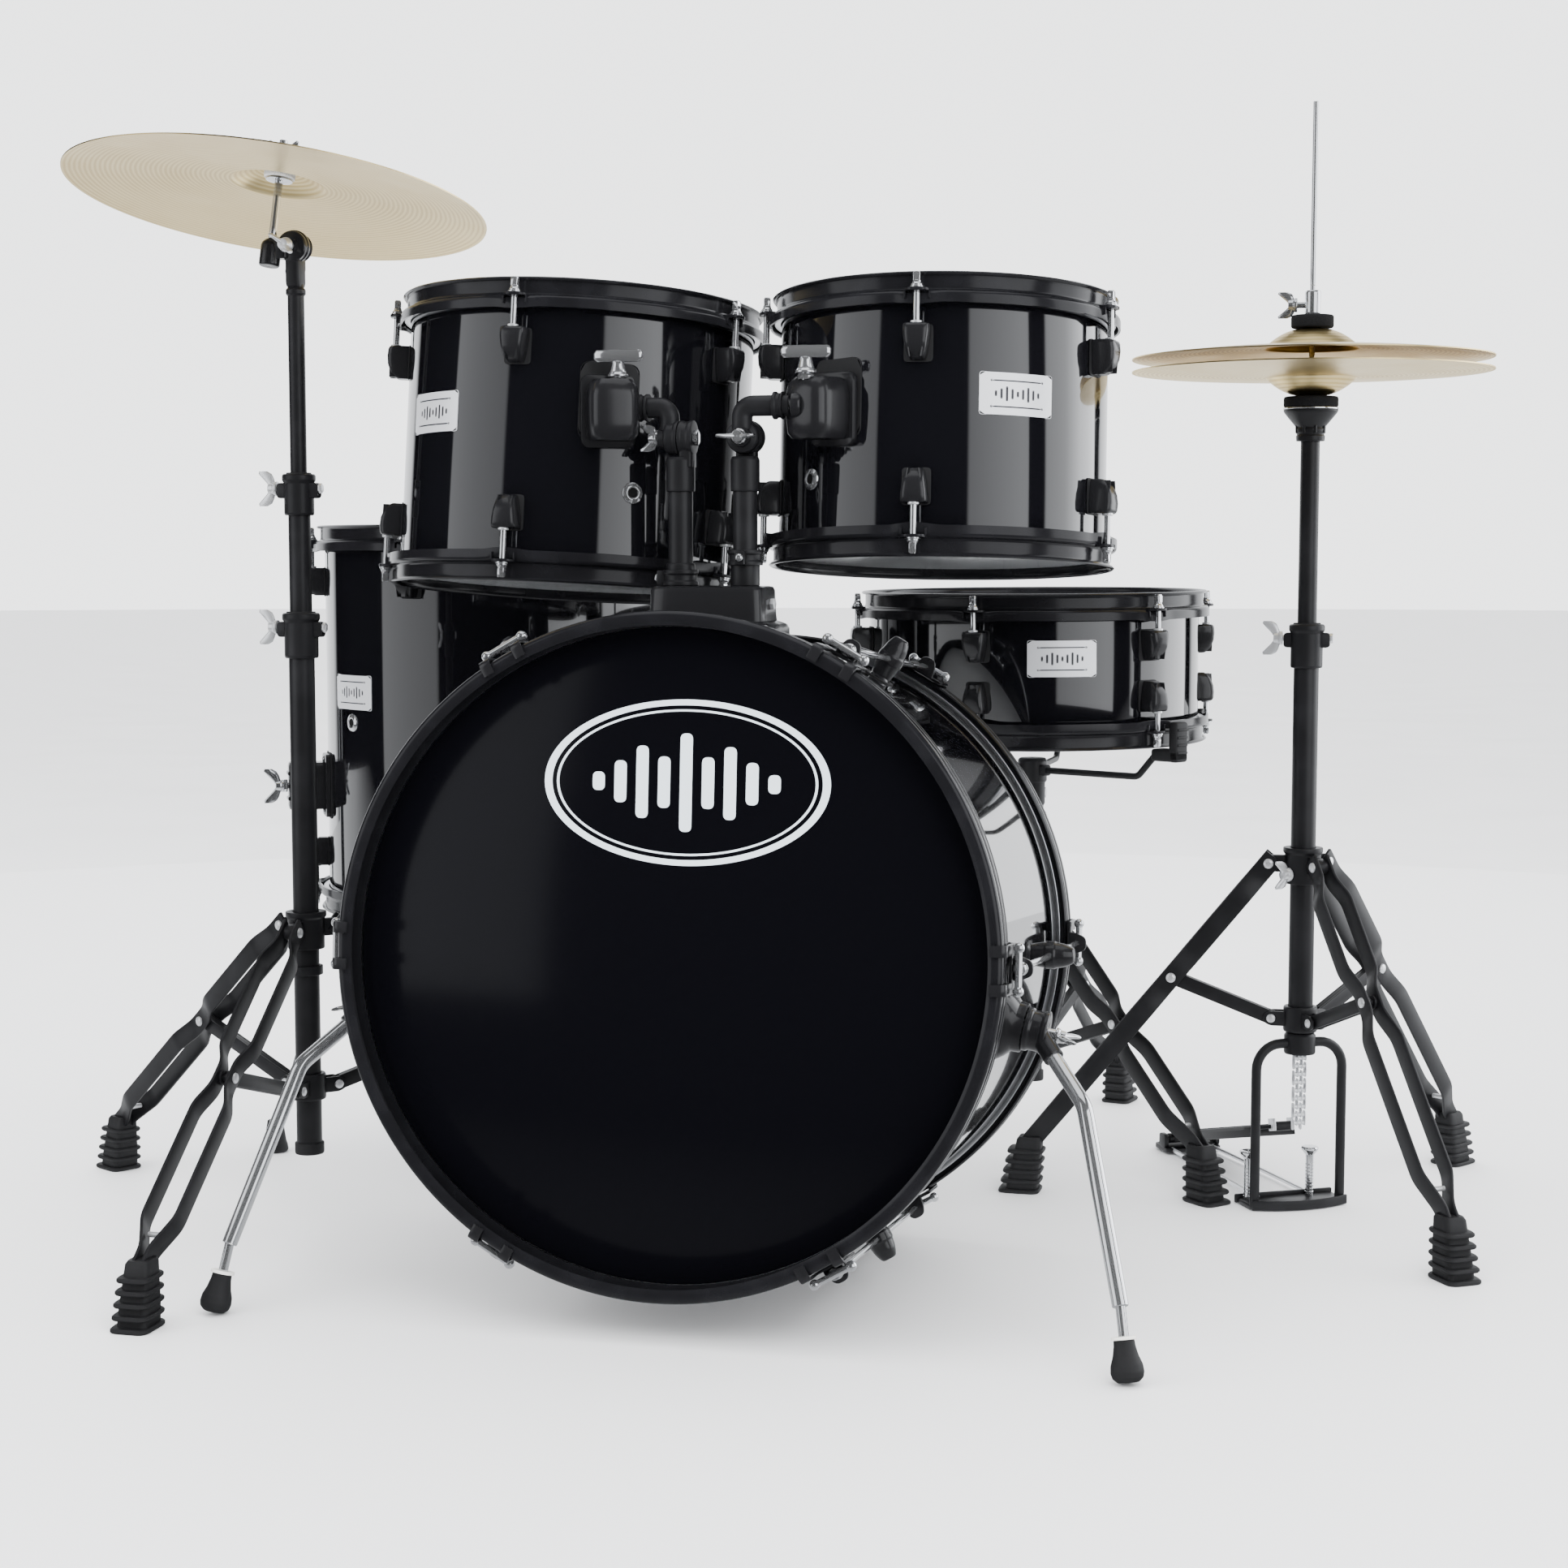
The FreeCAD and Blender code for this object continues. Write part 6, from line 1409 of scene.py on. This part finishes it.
def make_hihat():
    """The hi-hat stand with its pedal, folding tripod, chain and both cymbals."""
    t = HIHAT_TRIPOD
    column = placed(rod(12.5, 412, 0.5, 56, 11.3), at(HIHAT + UP * 172))
    column.join(lathe([(5, 0), (15.4, 0), (16, 2), (16, 19), (14, 22), (5, 22)], 52, 0.8), at(HIHAT + UP * 160))
    collar, collar_pins = collar_pieces(t)
    black, bright, bush = clamp_pieces(HIHAT, 554, 598, 16, HH_UPPER + 0.3)
    piece("hihat_column_tube", [column, collar, black], "kit_base", POWDER, None, ["hihat_base_tube"])
    piece("hihat_column_fasteners", [collar_pins, bright], "kit_base", STEEL)
    piece("hihat_column_bush", bush, "kit_base", RUBBER)
    make_pedal_frame()
    make_footboard()
    hub, hub_pins = hub_pieces(t)
    piece("hihat_hub_ring", hub, "hihat_hub", POWDER, None, ["hihat_leg_hub"])
    screw = placed(wing_nut(28, 0.2), at(HIHAT + Vector((-13, -13, 0)) + UP * 345, (-1, -1, 0), UP))
    piece("hihat_hub_pins", [hub_pins, screw], "hihat_hub", STEEL)
    for number, angle in enumerate(t.angles, 1):
        straps, rivets = leg_pieces(t, angle)
        body = "hihat_leg_%d_body" % number
        piece("hihat_leg_%d_straps" % number, straps, body, POWDER, None, ["hihat_leg_%d" % number])
        piece("hihat_leg_%d_rivets" % number, rivets, body, STEEL)
        piece("hihat_leg_%d_boot" % number, boot_shape(t, angle), body, RUBBER)
        piece("hihat_brace_%d_bar" % number, brace_pieces(t, angle), "hihat_brace_%d_body" % number, POWDER,
                None, ["hihat_brace_%d" % number])
    # sliding column
    upper = placed(rod(HH_UPPER, HH_SEAT - 410, 0.5, 48, 4.5), at(HIHAT + UP * 410))
    upper.join(lathe([(4.5, -9), (14, -9), (14.4, -4), (13.4, -2.5), (14.6, 0), (15, 3), (14, 4.5), (17, 8),
            (22, 14), (26, 19), (27, 21), (27, 22.4), (4.5, 22.4)], 56, 0.7), at(HIHAT + UP * HH_SEAT))
    for k in range(8):
        rib = loft([oval(2.2, 1.6, 0, 3, 16, 13.4), oval(2.2, 1.6, 8, 3, 16, 13.6), oval(5.2, 1.6, 20, 3, 16,
                19.5)])
        upper.join(rib, at(HIHAT + UP * (HH_SEAT - 1)) @ turn_z(45 * k + 22))
    piece("hihat_upper_column", upper, "hihat_column", POWDER, None, ["hihat_upper_tube"])
    ring = placed(rod(27.4, 1.6, 0.4, 60, 4.6), at(HIHAT + UP * (HH_SEAT + 22.5)))
    piece("hihat_seat_ring", ring, "hihat_column", CHROME)
    felt = placed(rod(27, 11, 2.6, 60, 4.6), at(HIHAT + UP * (HH_SEAT + 24.3)))
    piece("hihat_seat_felt", felt, "hihat_column", BLACK_FELT)
    piece("hihat_bottom_disc", cymbal_shape(HAT_RADIUS, 45, 18, 6, -1), "hihat_column", HAT_BRASS,
            at(HIHAT + UP * HH_EDGES[0]), ["hihat_bottom_cymbal"], angle=60)
    pull = placed(rod(2.9, 935 - 158, 0.3, 24), at(HIHAT + UP * 158))
    pull.join(rod(3, 180, 0.6, 24), at(HIHAT + UP * 935))
    piece("hihat_rod_steel", pull, "hihat_rod", CHROME, None, ["hihat_pull_rod"])
    turned = turn_z(PEDAL_ANGLE - 90)
    links = Shape()
    for i in range(9):
        spot = at(HIHAT + UP * (88 + 8.4 * i)) @ turned
        links.join(rod(2.4, 12.4, 0.3, 20), spot @ at((-6.2, 0, 0), X_AXIS))
        for k, x in enumerate((-6.4, -2.2, 2.2, 6.4)):
            shift = 4.2 if (i + k) % 2 else 0.0
            plate = soften([(-2.9, -3.2), (2.9, -3.2), (2.9, 8.2), (-2.9, 8.2)], 2.6, 4)
            links.join(prism(plate, 0.9, 0.2), spot @ at((x - 0.45, 0, shift - 4.2), X_AXIS, Y_AXIS))
    piece("hihat_chain", links, "hihat_rod", STEEL)
    clutch = placed(lathe([(3.2, 0), (7.2, 0), (7.8, 2), (7.8, 22), (7.0, 24), (3.2, 24)], 40, 0.6),
            at(HIHAT + UP * (HH_CLUTCH + 25)))
    clutch.join(rod(5.2, 20, 0.3, 32, 3.2), at(HIHAT + UP * (HH_CLUTCH + 6)))
    clutch.join(rod(10, 7, 0.6, 12, 3.2), at(HIHAT + UP * HH_CLUTCH))
    clutch.join(rod(3, 9, 0.3), at(HIHAT + Vector((-7, 0, 916)), -X_AXIS))
    clutch.join(wing_nut(26, 0.3), at(HIHAT + Vector((-15, 0, 916)), -X_AXIS, UP))
    piece("hihat_clutch_sleeve", clutch, "hihat_clutch_and_top_cymbal", CHROME, None, ["hihat_clutch"])
    felt = placed(rod(21, 13, 2.6, 52, 5.4), at(HIHAT + UP * 892.8))
    piece("hihat_clutch_felt", felt, "hihat_clutch_and_top_cymbal", BLACK_FELT)
    piece("hihat_top_disc", cymbal_shape(HAT_RADIUS, 47, 19, 10), "hihat_clutch_and_top_cymbal", HAT_BRASS,
            at(HIHAT + UP * HH_EDGES[1]), ["hihat_top_cymbal"], angle=60)


# ---- stage --------------------
TO_CAMERA = -75.8
SENSOR, FOCAL_PIXELS, PHOTO_PIXELS = 36.0, 3200, 1932


def light_card(name, stops, high=2.8, reach=3.2, steps=72):
    """A curved card that only reflections see. The stops are (angle to the right of the camera, brightness)."""
    first, last = stops[0][0], stops[-1][0]
    points, faces, levels = [], [], []
    for k in range(steps + 1):
        angle = first + (last - first) * k / steps
        for z in (0.0, high):
            a = math.radians(TO_CAMERA + angle)
            points.append((reach * math.cos(a), reach * math.sin(a), z))
        level = 0.0
        for (a0, b0), (a1, b1) in zip(stops, stops[1:]):
            if a0 <= angle <= a1:
                level = b0 + (b1 - b0) * (angle - a0) / (a1 - a0)
        levels += [level, level]
    for k in range(steps):
        faces.append([2 * k, 2 * k + 2, 2 * k + 3, 2 * k + 1])
    glow_mesh(name, points, faces, levels)


def glow_mesh(name, points, faces, levels):
    """A reflection-only mesh that glows by a brightness stored at its points."""
    data = bpy.data.meshes.new(name)
    data.from_pydata(points, [], faces)
    layer = data.attributes.new("level", "FLOAT", "POINT")
    layer.data.foreach_set("value", levels)
    material = bpy.data.materials.new(name)
    material.use_nodes = True
    tree = material.node_tree
    tree.nodes.clear()
    level = tree.nodes.new("ShaderNodeAttribute")
    level.attribute_name = "level"
    glow = tree.nodes.new("ShaderNodeEmission")
    glow.inputs["Color"].default_value = (0.95, 0.97, 1.0, 1.0)
    end = tree.nodes.new("ShaderNodeOutputMaterial")
    tree.links.new(level.outputs["Fac"], glow.inputs["Strength"])
    tree.links.new(glow.outputs["Emission"], end.inputs["Surface"])
    data.materials.append(material)
    card = bpy.data.objects.new(name, data)
    bpy.context.scene.collection.objects.link(card)
    card.visible_camera = card.visible_diffuse = card.visible_shadow = card.visible_transmission = False


def soft_box(name, place, aim, wide, tall, power):
    """A soft light that never shows in reflections."""
    light = bpy.data.lights.new(name, "AREA")
    light.shape = "RECTANGLE"
    light.size, light.size_y = wide, tall
    light.energy = power
    lamp = bpy.data.objects.new(name, light)
    bpy.context.scene.collection.objects.link(lamp)
    lamp.location = place
    lamp.rotation_euler = (Vector(aim) - Vector(place)).to_track_quat("-Z", "Y").to_euler()
    lamp.visible_glossy = False


def make_stage():
    """Floor, world, lights and the cards that the lacquer mirrors."""
    m = Nodes("pale_floor", (0.86, 0.86, 0.87), 0.6)
    m.rough(m.noise(3.0, 4.0), 0.5, 0.7)
    data = bpy.data.meshes.new("floor")
    count, far = 96, 30.0
    data.from_pydata([(far * c, far * s, 0) for c, s in circle(count)], [], [list(range(count))])
    data.materials.append(m.material)
    floor = bpy.data.objects.new("floor", data)
    bpy.context.scene.collection.objects.link(floor)
    floor.visible_glossy = False
    world = bpy.data.worlds.new("studio")
    bpy.context.scene.world = world
    world.use_nodes = True
    world.node_tree.nodes["Background"].inputs["Color"].default_value = (0.96, 0.97, 0.98, 1)
    world.node_tree.nodes["Background"].inputs["Strength"].default_value = 3.2
    world.cycles_visibility.glossy = False
    light_card("card_right_front", [(15, 0.0), (17, 1.5), (50, 2.6), (55, 2.6), (56, 0.0)])
    light_card("card_right_side", [(67, 0.0), (69, 2.6), (85, 3.0), (100, 5.0), (120, 5.0), (122, 0.0)])
    light_card("card_left_front", [(-83, 0.0), (-82, 1.6), (-45, 1.1), (-43, 0.0)])
    light_card("card_back", [(128, 0.0), (134, 2.0), (226, 2.0), (232, 0.0)], 3.4)
    above = [(-1.2, -1.6, 3.2), (1.6, -1.6, 3.2), (1.6, 1.2, 3.2), (-1.2, 1.2, 3.2)]
    glow_mesh("card_above", above, [[0, 1, 2, 3]], [1.2] * 4)
    sweep, faces, levels = [], [], []
    rows, columns = 14, 24
    for j in range(rows + 1):
        y = -0.9 + 5.4 * j / rows
        for i in range(columns + 1):
            sweep.append((-4.5 + 9.0 * i / columns, y, -0.002))
            levels.append(1.4 * max(0.0, min(1.0, (y + 0.9) / 1.2)))
    for j in range(rows):
        for i in range(columns):
            k = j * (columns + 1) + i
            faces.append([k, k + 1, k + columns + 2, k + columns + 1])
    glow_mesh("card_floor", sweep, faces, levels)
    soft_box("key_light", (1.6, -2.6, 2.4), (0, 0, 0.5), 1.6, 1.6, 60)
    soft_box("fill_light", (-2.4, -2.2, 1.8), (0, 0, 0.5), 1.6, 1.6, 35)
    soft_box("top_light", (0, 0, 3.6), (0, 0, 0), 4.0, 4.0, 110)


def make_camera():
    """The photograph's viewpoint."""
    lens = bpy.data.cameras.new("camera")
    lens.sensor_width = SENSOR
    lens.lens = SENSOR * FOCAL_PIXELS / PHOTO_PIXELS
    camera = bpy.data.objects.new("camera", lens)
    bpy.context.scene.collection.objects.link(camera)
    camera.location = (Vector((635, -2078, 668)) + LAYOUT_SHIFT) * METRES
    camera.rotation_euler = (math.radians(84.95), 0, math.radians(14.2))
    bpy.context.scene.camera = camera


make_bass()
for hand, side in ((1, "right"), (-1, "left")):
    make_spur(hand, side)
make_mount()
make_drum("tom_12", TOM_12)
make_drum("tom_13", TOM_13)
make_tom_holder(1, "right", TOM_12, "tom_12")
make_tom_holder(-1, "left", TOM_13, "tom_13")
make_drum("floor_tom", FLOOR_TOM)
make_floor_tom_legs()
make_drum("snare", SNARE, (STRAINER_ANGLE, STRAINER_ANGLE + 180))
make_snare_fittings()
make_crash()
make_snare_stand()
make_hihat()
make_stage()
make_camera()
bpy.context.view_layer.update()
